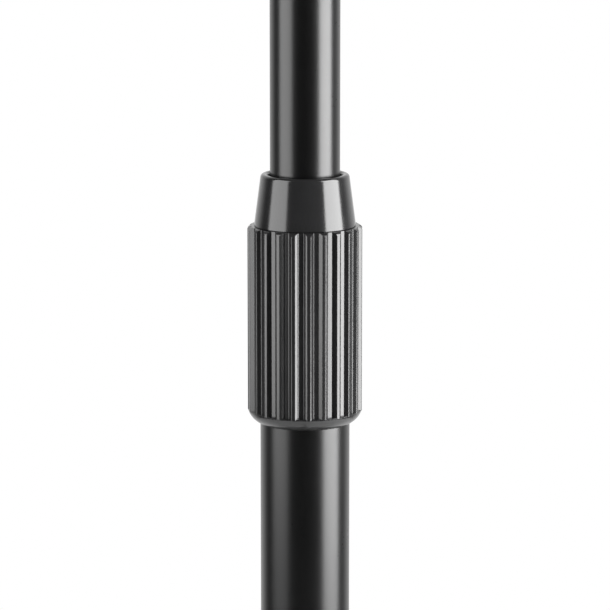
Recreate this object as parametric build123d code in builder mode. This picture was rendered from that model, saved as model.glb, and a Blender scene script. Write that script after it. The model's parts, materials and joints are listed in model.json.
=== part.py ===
from build123d import *
from math import cos, radians, sin, tan
import os

# Music stand: folding tripod base, two telescoping tubes with a twist clutch between them,
# and a desk on a tilting head. Millimetres, +Z up, floor at Z = 0, the player stands at -Y.
# The origin is on the floor in the middle of the object's own box.

# Mast tubes
lower_tube_radius = 14.3
upper_tube_radius = 11.1
tube_wall = 1.2
lower_tube_length = 560
upper_tube_length = 560
tube_overlap = 130
tube_floor_gap = 24

# Fits
running_gap = 0.05
taper_gap = 0.3
stop_gap = 0.1

# Twist clutch, heights counted from the grip's lower rim
grip_below_tube_end = 44
bevel_height = 4.2
rib_length = 59.3
nose_height = 16.5
grip_wall = 2.7
rib_count = 23
rib_depth = 1.15
groove_mouth = 3.0
groove_floor = 1.5
bevel_lip = 0.4
bevel_bulge = 0.75
nose_step = 0.55
nose_wall = 1.1
nose_gap = 0.75
nose_rim_fillet = 0.9
shell_wall = 1.25
sleeve_floor = 3.2
core_head_height = 16
core_spigot_length = 30
core_pin_radius = 1.5
collet_height = 15.2
collet_top_shrink = 1.45
collet_slots = 6
collet_slot_width = 1.2
collet_ring_height = 4
washer_thickness = 1.2
washer_side_gap = 0.25

# Slide bush on the upper tube's lower end
bush_height = 25
tube_foot_flange = 4
tube_foot_spigot = 14
tube_foot_lip = 1.5
bush_ring_height = 2

# Tripod base
leg_count = 3
leg_reach = 290
leg_slope = 20
leg_tube_radius = 8
leg_wall = 1.2
foot_radius = 11
foot_flat_cut = 3
foot_sleeve = 34
leg_pivot_stand = 15
hub_wall = 5.5
hub_height = 50
hub_liner_wall = 3.15
hub_liner_flange = 3
lug_thickness = 5
lug_gap = 0.3
tongue_half_width = 5
tongue_radius = 9
tongue_setback = 13
tongue_rise = 10
tongue_shoulder = 16
tongue_spigot = 24
leg_pin_radius = 3
leg_pin_head_radius = 5
leg_pin_head = 2
hub_below_pivot = 20

# Clamp knobs
knob_radius = 15
knob_lobes = 5
knob_lobe_radius = 5.5
knob_height = 18
knob_neck_radius = 9
knob_neck = 6
stud_radius = 4
clamp_boss_radius = 10
clamp_boss_stand = 13
clamp_pad_radius = 5
clamp_pad_thickness = 2.4
clamp_travel = 2

# Tilting head
socket_wall = 3.9
socket_depth = 35
socket_roof = 4
socket_screw_radius = 2.5
socket_screw_stand = 3
pivot_above_tube = 30
ear_gap_half = 8
ear_thickness = 6
ear_radius = 13
friction_washer = 1.2
friction_washer_radius = 11
bolt_head_radius = 8
bolt_head_height = 4
knob_washer_thickness = 1.6
knob_washer_radius = 9

# Desk
desk_width = 500
desk_height = 340
desk_sheet = 1.5
desk_tilt = 22
desk_below_pivot = 150
desk_standoff = 27
desk_corner = 24
desk_return = 9
knuckle_radius = 12
knuckle_plate_width = 100
knuckle_plate_height = 66
knuckle_plate_thickness = 3
screw_spacing_x = 76
screw_spacing_y = 42
screw_radius = 2
screw_head_radius = 4
screw_head = 2.2
nut_radius = 4
nut_height = 3
shelf_depth = 52
shelf_lip = 14
shelf_flange = 20
rivet_count = 5
rivet_pitch = 105
rivet_radius = 1.6
rivet_head_radius = 3.4
rivet_head = 1.3

# Places worked out from the sizes above
foot_height = foot_radius - foot_flat_cut
mast_y = leg_reach / 4
lower_tube_bottom = tube_floor_gap
lower_tube_top = lower_tube_bottom + lower_tube_length
lower_bore = lower_tube_radius - tube_wall
upper_bore = upper_tube_radius - tube_wall
upper_tube_bottom = lower_tube_top - tube_overlap
upper_tube_top = upper_tube_bottom + upper_tube_length
slide_bore = upper_tube_radius + running_gap
clutch_bottom = lower_tube_top - grip_below_tube_end
rib_bottom = clutch_bottom + bevel_height
rib_top = rib_bottom + rib_length
clutch_top = rib_top + nose_height
shell_bore = lower_tube_radius + running_gap
shell_outer = shell_bore + shell_wall
shell_pocket = shell_bore - collet_top_shrink
grip_radius = shell_outer + grip_wall
bevel_rim_radius = shell_bore + bevel_lip
nose_base_radius = shell_outer + nose_step
nose_top_radius = shell_pocket + nose_wall
nose_hole_radius = upper_tube_radius + nose_gap
core_top = lower_tube_top + core_head_height
collet_top = core_top + collet_height
collet_radius = shell_bore - taper_gap
washer_bottom = collet_top + taper_gap
washer_top = washer_bottom + washer_thickness
hub_bore = shell_bore + hub_liner_wall
hub_radius = hub_bore + hub_wall
leg_pivot_radius = hub_radius + leg_pivot_stand
clamp_boss_reach = hub_radius + clamp_boss_stand
leg_run = leg_reach - leg_pivot_radius
leg_pivot_height = foot_height + leg_run * tan(radians(leg_slope))
leg_length = leg_run / cos(radians(leg_slope))
hub_bottom = leg_pivot_height - hub_below_pivot
hub_top = hub_bottom + hub_height
lug_radius = tongue_radius + lug_thickness
lug_inner = tongue_half_width + lug_gap
lug_outer = lug_inner + lug_thickness
knob_height_on_hub = hub_top - clamp_boss_radius
socket_radius = upper_tube_radius + socket_wall
pivot_height = upper_tube_top + pivot_above_tube
ear_outer = ear_gap_half + ear_thickness
knuckle_half_width = ear_gap_half - friction_washer
desk_centre_up = desk_height / 2 - desk_below_pivot

mast_axis = Axis((0, mast_y, 0), (0, 0, 1))
upright = Plane(origin=(0, mast_y, 0), x_dir=(1, 0, 0), z_dir=(0, -1, 0))
desk_lean = radians(desk_tilt)
desk_plane = Plane(
    origin=(0, mast_y, pivot_height),
    x_dir=(1, 0, 0),
    z_dir=(0, -cos(desk_lean), sin(desk_lean)),
)
across_desk = Plane(
    origin=(0, mast_y, pivot_height),
    x_dir=desk_plane.z_dir,
    z_dir=(-1, 0, 0),
)

os.makedirs("parts", exist_ok=True)


def level(height):
    """Horizontal plane centred on the mast."""
    return Plane((0, mast_y, height))


def ring(inner, outer, bottom, top, mode=Mode.ADD):
    """Hollow cylinder on the mast's axis."""
    with BuildSketch(level(bottom)) as section:
        Circle(outer)
        Circle(inner, mode=Mode.SUBTRACT)
    extrude(section.sketch, amount=top - bottom, mode=mode)


def disc(radius, bottom, top, mode=Mode.ADD):
    """Solid cylinder on the mast's axis."""
    with BuildSketch(level(bottom)) as section:
        Circle(radius)
    extrude(section.sketch, amount=top - bottom, mode=mode)


def rod(plane, radius, start, end, mode=Mode.ADD):
    """Cylinder along a plane's normal, between two distances from its origin."""
    with BuildSketch(plane.offset(start)) as section:
        Circle(radius)
    extrude(section.sketch, amount=end - start, mode=mode)


def tube_along(plane, inner, outer, start, end):
    """Hollow cylinder along a plane's normal."""
    with BuildSketch(plane.offset(start)) as section:
        Circle(outer)
        Circle(inner, mode=Mode.SUBTRACT)
    extrude(section.sketch, amount=end - start)


def slab(plane, x_span, y_span, start, end, mode=Mode.ADD):
    """Block on a plane, given by its low and high X and Y there."""
    with BuildSketch(plane.offset(start)) as section:
        with Locations(((x_span[0] + x_span[1]) / 2, (y_span[0] + y_span[1]) / 2)):
            Rectangle(x_span[1] - x_span[0], y_span[1] - y_span[0])
    extrude(section.sketch, amount=end - start, mode=mode)


def knob_body(plane, start, insert_radius):
    """Lobed hand knob along a plane's normal, with a blind socket for its insert."""
    face = start + knob_neck + knob_height
    rod(plane, knob_neck_radius, start, start + knob_neck)
    with BuildSketch(plane.offset(start + knob_neck)) as star:
        Circle(knob_radius)
        with PolarLocations(knob_radius, knob_lobes):
            Circle(knob_lobe_radius)
    extrude(star.sketch, amount=knob_height)
    rod(plane, insert_radius, start, face - knob_neck, mode=Mode.SUBTRACT)


# Base


def leg_direction(number):
    """Angle of a leg about the mast: the first points at the player."""
    return radians(-90 + (number - 1) * 360 / leg_count)


def leg_side_plane(number):
    """Plane through the leg's pivot, square to the pivot pin, with X pointing outwards."""
    angle = leg_direction(number)
    pivot = (
        leg_pivot_radius * cos(angle),
        mast_y + leg_pivot_radius * sin(angle),
        leg_pivot_height,
    )
    outward = (cos(angle), sin(angle), 0)
    return Plane(origin=pivot, x_dir=outward, z_dir=(sin(angle), -cos(angle), 0))


def leg_axis_plane(number):
    """Plane through the leg's pivot whose normal runs down the leg."""
    angle = leg_direction(number)
    slope = radians(leg_slope)
    side = leg_side_plane(number)
    down_leg = (cos(angle) * cos(slope), sin(angle) * cos(slope), -sin(slope))
    return Plane(origin=side.origin, x_dir=side.z_dir, z_dir=down_leg)


def clamp_plane():
    """Plane on the mast's axis whose normal points at the base clamp knob."""
    return Plane(origin=(0, mast_y, knob_height_on_hub), x_dir=(1, 0, 0), z_dir=(0, 1, 0))


def make_base_hub():
    with BuildPart() as base_hub:
        disc(hub_radius, hub_bottom, hub_top)
        rod(clamp_plane(), clamp_boss_radius, 0, clamp_boss_reach)
        for number in range(1, leg_count + 1):
            side = leg_side_plane(number)
            inward = (-leg_pivot_radius, -tongue_setback - stop_gap)
            slab(side, inward, (-lug_radius, lug_radius), -lug_outer, lug_outer)
            for start in (-lug_outer, lug_inner):
                with BuildSketch(side.offset(start)) as lug:
                    Circle(lug_radius)
                    with Locations((-leg_pivot_radius / 2, 0)):
                        Rectangle(leg_pivot_radius, 2 * lug_radius)
                extrude(lug.sketch, amount=lug_thickness)
            rod(side, leg_pin_radius, -lug_outer, lug_outer, mode=Mode.SUBTRACT)
        disc(hub_bore, hub_bottom, hub_top, mode=Mode.SUBTRACT)
        rod(clamp_plane(), stud_radius + taper_gap, 0, clamp_boss_reach, mode=Mode.SUBTRACT)
        pocket_end = hub_bore + clamp_travel + taper_gap
        rod(clamp_plane(), clamp_pad_radius + taper_gap, 0, pocket_end, mode=Mode.SUBTRACT)
    base_hub.part.label = "base_hub"
    export_step(base_hub.part, "parts/base_hub.step")


def make_base_liner():
    with BuildPart() as base_liner:
        ring(shell_bore, hub_bore, hub_bottom, hub_top)
        ring(shell_bore, hub_radius, hub_top, hub_top + hub_liner_flange)
        rod(clamp_plane(), clamp_pad_radius + taper_gap, 0, hub_radius, mode=Mode.SUBTRACT)
    base_liner.part.label = "base_liner"
    export_step(base_liner.part, "parts/base_liner.step")


def make_clamp_pad():
    """Disc that the knob's stud presses on the lower tube, hollowed to the tube's curve."""
    face = hub_bore
    with BuildPart() as clamp_pad:
        rod(clamp_plane(), clamp_pad_radius, face - clamp_pad_thickness, face)
        disc(lower_tube_radius + taper_gap, hub_bottom, hub_top, mode=Mode.SUBTRACT)
    clamp_pad.part.label = "clamp_pad"
    export_step(clamp_pad.part, "parts/clamp_pad.step")


def make_base_knob():
    plane = clamp_plane()
    start = clamp_boss_reach + knob_neck
    with BuildPart() as base_knob_stud:
        rod(plane, stud_radius, hub_bore, start + knob_height)
    base_knob_stud.part.label = "base_knob_stud"
    export_step(base_knob_stud.part, "parts/base_knob_stud.step")
    with BuildPart() as base_knob:
        knob_body(plane, start, stud_radius)
    base_knob.part.label = "base_knob"
    export_step(base_knob.part, "parts/base_knob.step")


def make_leg(number):
    side = leg_side_plane(number)
    along = leg_axis_plane(number)
    foot_start = leg_length - foot_sleeve
    with BuildPart() as leg_pin:
        rod(side, leg_pin_radius, -lug_outer, lug_outer)
        rod(side, leg_pin_head_radius, -lug_outer - leg_pin_head, -lug_outer)
        rod(side, leg_pin_head_radius, lug_outer, lug_outer + leg_pin_head)
    leg_pin.part.label = f"leg_pin_{number}"
    export_step(leg_pin.part, f"parts/leg_pin_{number}.step")

    with BuildPart() as leg_knuckle:
        with BuildSketch(side.offset(-tongue_half_width)) as tongue:
            Circle(tongue_radius)
            with Locations((-tongue_setback / 2, tongue_rise / 2)):
                Rectangle(tongue_setback, tongue_rise)
        extrude(tongue.sketch, amount=2 * tongue_half_width)
        with BuildSketch(along) as web:
            Rectangle(2 * tongue_half_width, 2 * tongue_radius)
        extrude(web.sketch, amount=tongue_shoulder)
        rod(along, leg_tube_radius, lug_radius + lug_gap, tongue_shoulder)
        rod(along, leg_tube_radius - leg_wall, tongue_shoulder, tongue_spigot + tongue_shoulder)
        bore = leg_pin_radius + running_gap
        rod(side, bore, -tongue_half_width, tongue_half_width, mode=Mode.SUBTRACT)
    leg_knuckle.part.label = f"leg_knuckle_{number}"
    export_step(leg_knuckle.part, f"parts/leg_knuckle_{number}.step")

    with BuildPart() as leg_tube:
        bore = leg_tube_radius - leg_wall
        tube_along(along, bore, leg_tube_radius, tongue_shoulder, leg_length)
    leg_tube.part.label = f"leg_tube_{number}"
    export_step(leg_tube.part, f"parts/leg_tube_{number}.step")

    with BuildPart() as leg_foot:
        rod(along, foot_radius, foot_start, leg_length)
        with Locations(along.offset(leg_length).origin):
            Sphere(foot_radius)
        rod(along, leg_tube_radius, foot_start, leg_length, mode=Mode.SUBTRACT)
        under_floor = Plane(along.offset(leg_length).origin).offset(-foot_height)
        slab(under_floor, (-leg_length, leg_length), (-leg_length, leg_length),
             -foot_radius, 0, mode=Mode.SUBTRACT)
    leg_foot.part.label = f"leg_foot_{number}"
    export_step(leg_foot.part, f"parts/leg_foot_{number}.step")


# Mast


def make_lower_tube():
    pin_height = lower_tube_top - core_spigot_length / 2
    pin_plane = Plane(origin=(0, mast_y, pin_height), x_dir=(0, 1, 0), z_dir=(1, 0, 0))
    with BuildPart() as lower_tube:
        ring(lower_bore, lower_tube_radius, lower_tube_bottom, lower_tube_top)
        reach = lower_tube_radius
        rod(pin_plane, core_pin_radius, -reach, reach, mode=Mode.SUBTRACT)
    lower_tube.part.label = "lower_tube"
    export_step(lower_tube.part, "parts/lower_tube.step")

    with BuildPart() as tube_plug:
        disc(lower_tube_radius, lower_tube_bottom - tube_foot_flange, lower_tube_bottom)
        disc(lower_bore, lower_tube_bottom, lower_tube_bottom + tube_foot_spigot)
    tube_plug.part.label = "tube_plug"
    export_step(tube_plug.part, "parts/tube_plug.step")

    with BuildPart() as clutch_core:
        ring(slide_bore, lower_bore, lower_tube_top - core_spigot_length, lower_tube_top)
        ring(slide_bore, lower_tube_radius, lower_tube_top, core_top)
        rod(pin_plane, core_pin_radius, -reach, reach, mode=Mode.SUBTRACT)
    clutch_core.part.label = "clutch_core"
    export_step(clutch_core.part, "parts/clutch_core.step")

    pin_end = lower_tube_radius - stop_gap
    pin_start = slide_bore + taper_gap
    with BuildPart() as clutch_pins:
        rod(pin_plane, core_pin_radius, pin_start, pin_end)
        rod(pin_plane, core_pin_radius, -pin_end, -pin_start)
    clutch_pins.part.label = "clutch_pins"
    export_step(clutch_pins.part, "parts/clutch_pins.step")


def make_collet():
    """Split tapered ring that the clutch squeezes on the upper tube."""
    top_radius = collet_radius - collet_top_shrink
    with BuildPart() as collet:
        with BuildSketch(upright):
            with BuildLine():
                Polyline(
                    (slide_bore, core_top),
                    (collet_radius, core_top),
                    (top_radius, collet_top),
                    (slide_bore, collet_top),
                    close=True,
                )
            make_face()
        revolve(axis=mast_axis)
        with BuildSketch(level(core_top + collet_ring_height)):
            with PolarLocations(0, collet_slots):
                with Locations((lower_tube_radius / 2, 0)):
                    Rectangle(lower_tube_radius, collet_slot_width)
        extrude(amount=collet_height, mode=Mode.SUBTRACT)
    collet.part.label = "collet"
    export_step(collet.part, "parts/collet.step")


def make_thrust_washer():
    inner = nose_hole_radius - washer_side_gap
    outer = collet_radius - collet_top_shrink
    with BuildPart() as thrust_washer:
        ring(inner, outer, washer_bottom, washer_top)
    thrust_washer.part.label = "thrust_washer"
    export_step(thrust_washer.part, "parts/thrust_washer.step")


def make_clutch_shell():
    """Threaded shell: it runs on the core, its taper closes the collet, its nose shows."""
    bottom = clutch_bottom + sleeve_floor
    seat_start = core_top + taper_gap
    with BuildPart() as clutch_shell:
        with BuildSketch(upright):
            with BuildLine():
                Polyline(
                    (shell_bore, bottom),
                    (shell_outer, bottom),
                    (shell_outer, rib_top),
                    (nose_base_radius, rib_top),
                    (nose_top_radius, clutch_top),
                    (nose_hole_radius, clutch_top),
                    (nose_hole_radius, washer_top),
                    (shell_pocket, washer_top),
                    (shell_pocket, collet_top),
                    (shell_bore, seat_start),
                    close=True,
                )
            make_face()
        revolve(axis=mast_axis)
        rims = clutch_shell.edges().filter_by(GeomType.CIRCLE).group_by(Axis.Z)[-1]
        fillet(rims, nose_rim_fillet)
    clutch_shell.part.label = "clutch_shell"
    export_step(clutch_shell.part, "parts/clutch_shell.step")


def make_grip_sleeve():
    """Ribbed sleeve around the shell, with a rounded bevel below the ribs."""
    rim = (bevel_rim_radius, clutch_bottom)
    belly_radius = (grip_radius + bevel_rim_radius) / 2 + bevel_bulge
    belly = (belly_radius, clutch_bottom + bevel_height / 2 - bevel_bulge)
    floor_top = clutch_bottom + sleeve_floor
    with BuildPart() as grip_sleeve:
        with BuildSketch(upright):
            with BuildLine():
                ThreePointArc(rim, belly, (grip_radius, rib_bottom))
                Polyline(
                    (grip_radius, rib_bottom),
                    (grip_radius, rib_top),
                    (shell_outer, rib_top),
                    (shell_outer, floor_top),
                    (shell_bore, floor_top),
                    (shell_bore, clutch_bottom),
                    rim,
                )
            make_face()
        revolve(axis=mast_axis)
        with BuildSketch(level(rib_bottom)):
            with PolarLocations(grip_radius, rib_count):
                with BuildLine():
                    Polyline(
                        (rib_depth, -groove_mouth),
                        (rib_depth, groove_mouth),
                        (0, groove_mouth / 2),
                        (-rib_depth, groove_floor / 2),
                        (-rib_depth, -groove_floor / 2),
                        (0, -groove_mouth / 2),
                        close=True,
                    )
                make_face()
        extrude(amount=rib_length, mode=Mode.SUBTRACT)
    grip_sleeve.part.label = "grip_sleeve"
    export_step(grip_sleeve.part, "parts/grip_sleeve.step")


def make_upper_tube():
    with BuildPart() as upper_tube:
        ring(upper_bore, upper_tube_radius, upper_tube_bottom, upper_tube_top)
    upper_tube.part.label = "upper_tube"
    export_step(upper_tube.part, "parts/upper_tube.step")

    lip_radius = upper_tube_radius + tube_foot_lip
    with BuildPart() as tube_foot:
        disc(lip_radius, upper_tube_bottom - tube_foot_flange, upper_tube_bottom)
        disc(upper_bore, upper_tube_bottom, upper_tube_bottom + tube_foot_spigot)
    tube_foot.part.label = "tube_foot"
    export_step(tube_foot.part, "parts/tube_foot.step")

    bush_bottom = upper_tube_bottom + stop_gap
    bush_top = bush_bottom + bush_height
    with BuildPart() as slide_bush:
        ring(slide_bore, lower_bore - running_gap, bush_bottom, bush_top)
    slide_bush.part.label = "slide_bush"
    export_step(slide_bush.part, "parts/slide_bush.step")

    ring_bottom = bush_top + stop_gap
    with BuildPart() as bush_ring:
        ring(upper_tube_radius, lip_radius, ring_bottom, ring_bottom + bush_ring_height)
    bush_ring.part.label = "bush_ring"
    export_step(bush_ring.part, "parts/bush_ring.step")


# Head


def tilt_plane():
    """Plane on the tilt axis, its normal along +X."""
    return Plane(origin=(0, mast_y, pivot_height), x_dir=(0, 1, 0), z_dir=(1, 0, 0))


def screw_plane():
    """Plane on the mast's axis whose normal points backwards through the socket screw."""
    height = upper_tube_top - socket_depth / 2
    return Plane(origin=(0, mast_y, height), x_dir=(1, 0, 0), z_dir=(0, 1, 0))


def make_head_fork():
    """Socket pressed on the upper tube, with two ears for the tilt bolt."""
    roof = upper_tube_top + socket_roof
    with BuildPart() as head_fork:
        disc(socket_radius, upper_tube_top - socket_depth, roof)
        ears = (roof - pivot_height, 0)
        for start in (-ear_outer, ear_gap_half):
            with BuildSketch(tilt_plane().offset(start)) as ear:
                Circle(ear_radius)
                with Locations((0, (ears[0] - socket_roof) / 2)):
                    Rectangle(2 * ear_radius, socket_roof - ears[0])
            extrude(ear.sketch, amount=ear_thickness)
        disc(upper_tube_radius, upper_tube_top - socket_depth, upper_tube_top, Mode.SUBTRACT)
        rod(tilt_plane(), stud_radius, -ear_outer, ear_outer, mode=Mode.SUBTRACT)
        rod(screw_plane(), socket_screw_radius, 0, socket_radius, mode=Mode.SUBTRACT)
    head_fork.part.label = "head_fork"
    export_step(head_fork.part, "parts/head_fork.step")

    with BuildPart() as fork_screw:
        stand = socket_radius + socket_screw_stand
        rod(screw_plane(), socket_screw_radius, upper_tube_radius + stop_gap, socket_radius)
        rod(screw_plane(), 2 * socket_screw_radius, socket_radius, stand)
    fork_screw.part.label = "fork_screw"
    export_step(fork_screw.part, "parts/fork_screw.step")


def make_tilt_hardware():
    plane = tilt_plane()
    washer_end = ear_outer + knob_washer_thickness
    knob_start = washer_end
    bolt_end = knob_start + knob_neck + knob_height - 2 * knob_neck
    with BuildPart() as tilt_bolt:
        rod(plane, stud_radius, -ear_outer, bolt_end)
        rod(plane, bolt_head_radius, -ear_outer - bolt_head_height, -ear_outer)
        dome = tilt_bolt.faces().sort_by(Axis.X)[0]
        fillet(dome.edges(), bolt_head_height / 2)
    tilt_bolt.part.label = "tilt_bolt"
    export_step(tilt_bolt.part, "parts/tilt_bolt.step")

    washer_bore = stud_radius + running_gap
    with BuildPart() as friction_washers:
        tube_along(plane, stud_radius, friction_washer_radius, -ear_gap_half, -knuckle_half_width)
        tube_along(plane, stud_radius, friction_washer_radius, knuckle_half_width, ear_gap_half)
    friction_washers.part.label = "friction_washers"
    export_step(friction_washers.part, "parts/friction_washers.step")

    with BuildPart() as knob_washer:
        tube_along(plane, washer_bore, knob_washer_radius, ear_outer, washer_end)
    knob_washer.part.label = "knob_washer"
    export_step(knob_washer.part, "parts/knob_washer.step")

    insert_radius = stud_radius + 2 * tube_wall
    insert_end = knob_start + knob_height
    with BuildPart() as tilt_knob_insert:
        tube_along(plane, washer_bore, insert_radius, knob_start, insert_end)
    tilt_knob_insert.part.label = "tilt_knob_insert"
    export_step(tilt_knob_insert.part, "parts/tilt_knob_insert.step")

    with BuildPart() as tilt_knob:
        knob_body(plane, knob_start, insert_radius)
    tilt_knob.part.label = "tilt_knob"
    export_step(tilt_knob.part, "parts/tilt_knob.step")


# Desk


def screw_places():
    """Centres of the knuckle screws on the desk plane."""
    return GridLocations(screw_spacing_x, screw_spacing_y, 2, 2)


def rivet_places():
    """Centres of the shelf rivets on the desk plane."""
    height = shelf_flange / 2 - desk_below_pivot
    return [((i - (rivet_count - 1) / 2) * rivet_pitch, height) for i in range(rivet_count)]


def studs(places, radius, start, end):
    """One cylinder at each place on the desk plane."""
    with BuildSketch(desk_plane.offset(start)) as section:
        with places:
            Circle(radius)
    extrude(section.sketch, amount=end - start)


def drill_desk(places, radius, start, end):
    """One hole at each place on the desk plane."""
    with BuildSketch(desk_plane.offset(start)) as section:
        with places:
            Circle(radius)
    extrude(section.sketch, amount=end - start, mode=Mode.SUBTRACT)


def make_desk_knuckle():
    plate_back = desk_standoff - knuckle_plate_thickness
    with BuildPart() as desk_knuckle:
        rod(tilt_plane(), knuckle_radius, -knuckle_half_width, knuckle_half_width)
        half = (-knuckle_half_width, knuckle_half_width)
        slab(desk_plane, half, (-knuckle_radius, knuckle_radius), 0, desk_standoff)
        with BuildSketch(desk_plane.offset(plate_back)):
            RectangleRounded(knuckle_plate_width, knuckle_plate_height, knuckle_radius)
        extrude(amount=knuckle_plate_thickness)
        drill_desk(screw_places(), screw_radius, plate_back, desk_standoff)
        bore = stud_radius + running_gap
        rod(tilt_plane(), bore, -knuckle_half_width, knuckle_half_width, mode=Mode.SUBTRACT)
    desk_knuckle.part.label = "desk_knuckle"
    export_step(desk_knuckle.part, "parts/desk_knuckle.step")


def make_desk_panel():
    """Sheet with its sides and top folded back, and its lower edge left flat for the shelf."""
    front = desk_standoff + desk_sheet
    back = desk_standoff - desk_return
    bottom = -desk_below_pivot
    top = bottom + desk_height
    half = desk_width / 2
    inside = half - desk_sheet
    with BuildPart() as desk_panel:
        with BuildSketch(desk_plane.offset(back)) as outline:
            with Locations((0, desk_centre_up)):
                RectangleRounded(desk_width, desk_height, desk_corner)
            square_corner = desk_corner / 2
            for x in (-half + square_corner, half - square_corner):
                with Locations((x, bottom + square_corner)):
                    Rectangle(desk_corner, desk_corner)
        extrude(outline.sketch, amount=front - back)
        with BuildSketch(desk_plane.offset(back)) as hollow:
            with Locations((0, (bottom + top - desk_sheet) / 2)):
                RectangleRounded(2 * inside, top - desk_sheet - bottom, desk_corner - desk_sheet)
            with Locations((0, bottom + square_corner)):
                Rectangle(2 * inside, desk_corner)
        extrude(hollow.sketch, amount=desk_return, mode=Mode.SUBTRACT)
        drill_desk(screw_places(), screw_radius, desk_standoff, front)
        drill_desk(Locations(*rivet_places()), rivet_radius, desk_standoff, front)
    desk_panel.part.label = "desk_panel"
    export_step(desk_panel.part, "parts/desk_panel.step")


def make_shelf():
    """Bent ledge: a flange behind the panel, the ledge under it and an upturned lip."""
    back = desk_standoff - desk_sheet
    bottom = -desk_below_pivot - desk_sheet
    lip_out = desk_standoff + desk_sheet + shelf_depth
    flange_top = shelf_flange - desk_below_pivot
    length = desk_width - 2 * desk_corner
    with BuildPart() as shelf:
        with BuildSketch(across_desk.offset(-length / 2)):
            with BuildLine():
                Polyline(
                    (back, flange_top),
                    (back, bottom),
                    (lip_out, bottom),
                    (lip_out, bottom + shelf_lip),
                    (lip_out - desk_sheet, bottom + shelf_lip),
                    (lip_out - desk_sheet, bottom + desk_sheet),
                    (desk_standoff, bottom + desk_sheet),
                    (desk_standoff, flange_top),
                    close=True,
                )
            make_face()
        extrude(amount=length)
        drill_desk(Locations(*rivet_places()), rivet_radius, back, desk_standoff)
    shelf.part.label = "shelf"
    export_step(shelf.part, "parts/shelf.step")


def make_desk_fasteners():
    front = desk_standoff + desk_sheet
    plate_back = desk_standoff - knuckle_plate_thickness
    nut_back = plate_back - nut_height
    with BuildPart() as knuckle_screws:
        studs(screw_places(), screw_radius, nut_back, front)
        studs(screw_places(), screw_head_radius, front, front + screw_head)
    knuckle_screws.part.label = "knuckle_screws"
    export_step(knuckle_screws.part, "parts/knuckle_screws.step")

    with BuildPart() as knuckle_nuts:
        with BuildSketch(desk_plane.offset(nut_back)):
            with screw_places():
                RegularPolygon(nut_radius, 6)
                Circle(screw_radius, mode=Mode.SUBTRACT)
        extrude(amount=nut_height)
    knuckle_nuts.part.label = "knuckle_nuts"
    export_step(knuckle_nuts.part, "parts/knuckle_nuts.step")

    rivet_back = desk_standoff - desk_sheet
    with BuildPart() as shelf_rivets:
        studs(Locations(*rivet_places()), rivet_radius, rivet_back, front)
        studs(Locations(*rivet_places()), rivet_head_radius, front, front + rivet_head)
        tail = rivet_back - rivet_head
        studs(Locations(*rivet_places()), rivet_head_radius, tail, rivet_back)
    shelf_rivets.part.label = "shelf_rivets"
    export_step(shelf_rivets.part, "parts/shelf_rivets.step")


make_base_hub()
make_base_liner()
make_clamp_pad()
make_base_knob()
for leg_number in range(1, leg_count + 1):
    make_leg(leg_number)
make_lower_tube()
make_collet()
make_thrust_washer()
make_clutch_shell()
make_grip_sleeve()
make_upper_tube()
make_head_fork()
make_tilt_hardware()
make_desk_knuckle()
make_desk_panel()
make_shelf()
make_desk_fasteners()
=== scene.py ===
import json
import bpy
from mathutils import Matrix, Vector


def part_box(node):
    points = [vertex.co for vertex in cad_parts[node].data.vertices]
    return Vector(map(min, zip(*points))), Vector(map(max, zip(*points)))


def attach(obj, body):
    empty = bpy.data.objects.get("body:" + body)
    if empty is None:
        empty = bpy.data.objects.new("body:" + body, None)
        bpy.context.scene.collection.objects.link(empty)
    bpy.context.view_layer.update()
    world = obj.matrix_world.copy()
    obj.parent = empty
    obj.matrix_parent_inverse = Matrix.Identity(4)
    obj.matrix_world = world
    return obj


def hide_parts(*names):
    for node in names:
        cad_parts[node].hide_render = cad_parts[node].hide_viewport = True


bl_info = {
    "name": "Music Stand",
    "version": (1, 0, 0),
    "blender": (4, 5, 0),
    "location": "View3D > Sidebar > Music Stand",
    "description": "Builds a folding music stand around its packed frame, piece by piece",
    "category": "Add Mesh",
}

from math import cos, pi, radians, sin, tan

import bpy
from mathutils import Matrix, Vector

MM = 0.001

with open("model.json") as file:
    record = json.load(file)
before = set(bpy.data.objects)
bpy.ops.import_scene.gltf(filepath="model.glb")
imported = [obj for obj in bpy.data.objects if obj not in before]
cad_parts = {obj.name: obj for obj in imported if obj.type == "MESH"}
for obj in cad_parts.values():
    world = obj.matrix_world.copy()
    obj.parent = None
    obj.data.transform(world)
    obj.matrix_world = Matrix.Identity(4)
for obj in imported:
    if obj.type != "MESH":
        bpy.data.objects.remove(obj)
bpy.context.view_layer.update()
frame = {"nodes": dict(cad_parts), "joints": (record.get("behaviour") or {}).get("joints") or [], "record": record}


# ---------------------------------------------------------------- places read from the frame


def middle(node):
    """Centre of a node's box."""
    low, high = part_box(node)
    return (low + high) / 2


def span(node):
    """Width, depth and height of a node's box."""
    low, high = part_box(node)
    return high - low


def joint(name):
    """A joint's entry in the record."""
    return next(entry for entry in frame["joints"] if entry["name"] == name)


MAST = Vector((middle("lower_tube").x, middle("lower_tube").y, 0))
UP = Vector((0, 0, 1))
LEGS = (1, 2, 3)


# ---------------------------------------------------------------- settings


def a_length(name, description, default):
    """Setting that is a distance."""
    return bpy.props.FloatProperty(name=name, description=description, default=default, unit="LENGTH")


def an_angle(name, description, default):
    """Setting that is an angle."""
    return bpy.props.FloatProperty(name=name, description=description, default=default, subtype="ANGLE")


def a_number(name, description, default):
    """Setting without a unit."""
    return bpy.props.FloatProperty(name=name, description=description, default=default)


def a_count(name, description, default):
    """Setting that is a whole number."""
    return bpy.props.IntProperty(name=name, description=description, default=default)


def a_colour(name, description, default):
    """Setting that is a base colour."""
    return bpy.props.FloatVectorProperty(name=name, description=description, default=default, subtype="COLOR")


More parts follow.
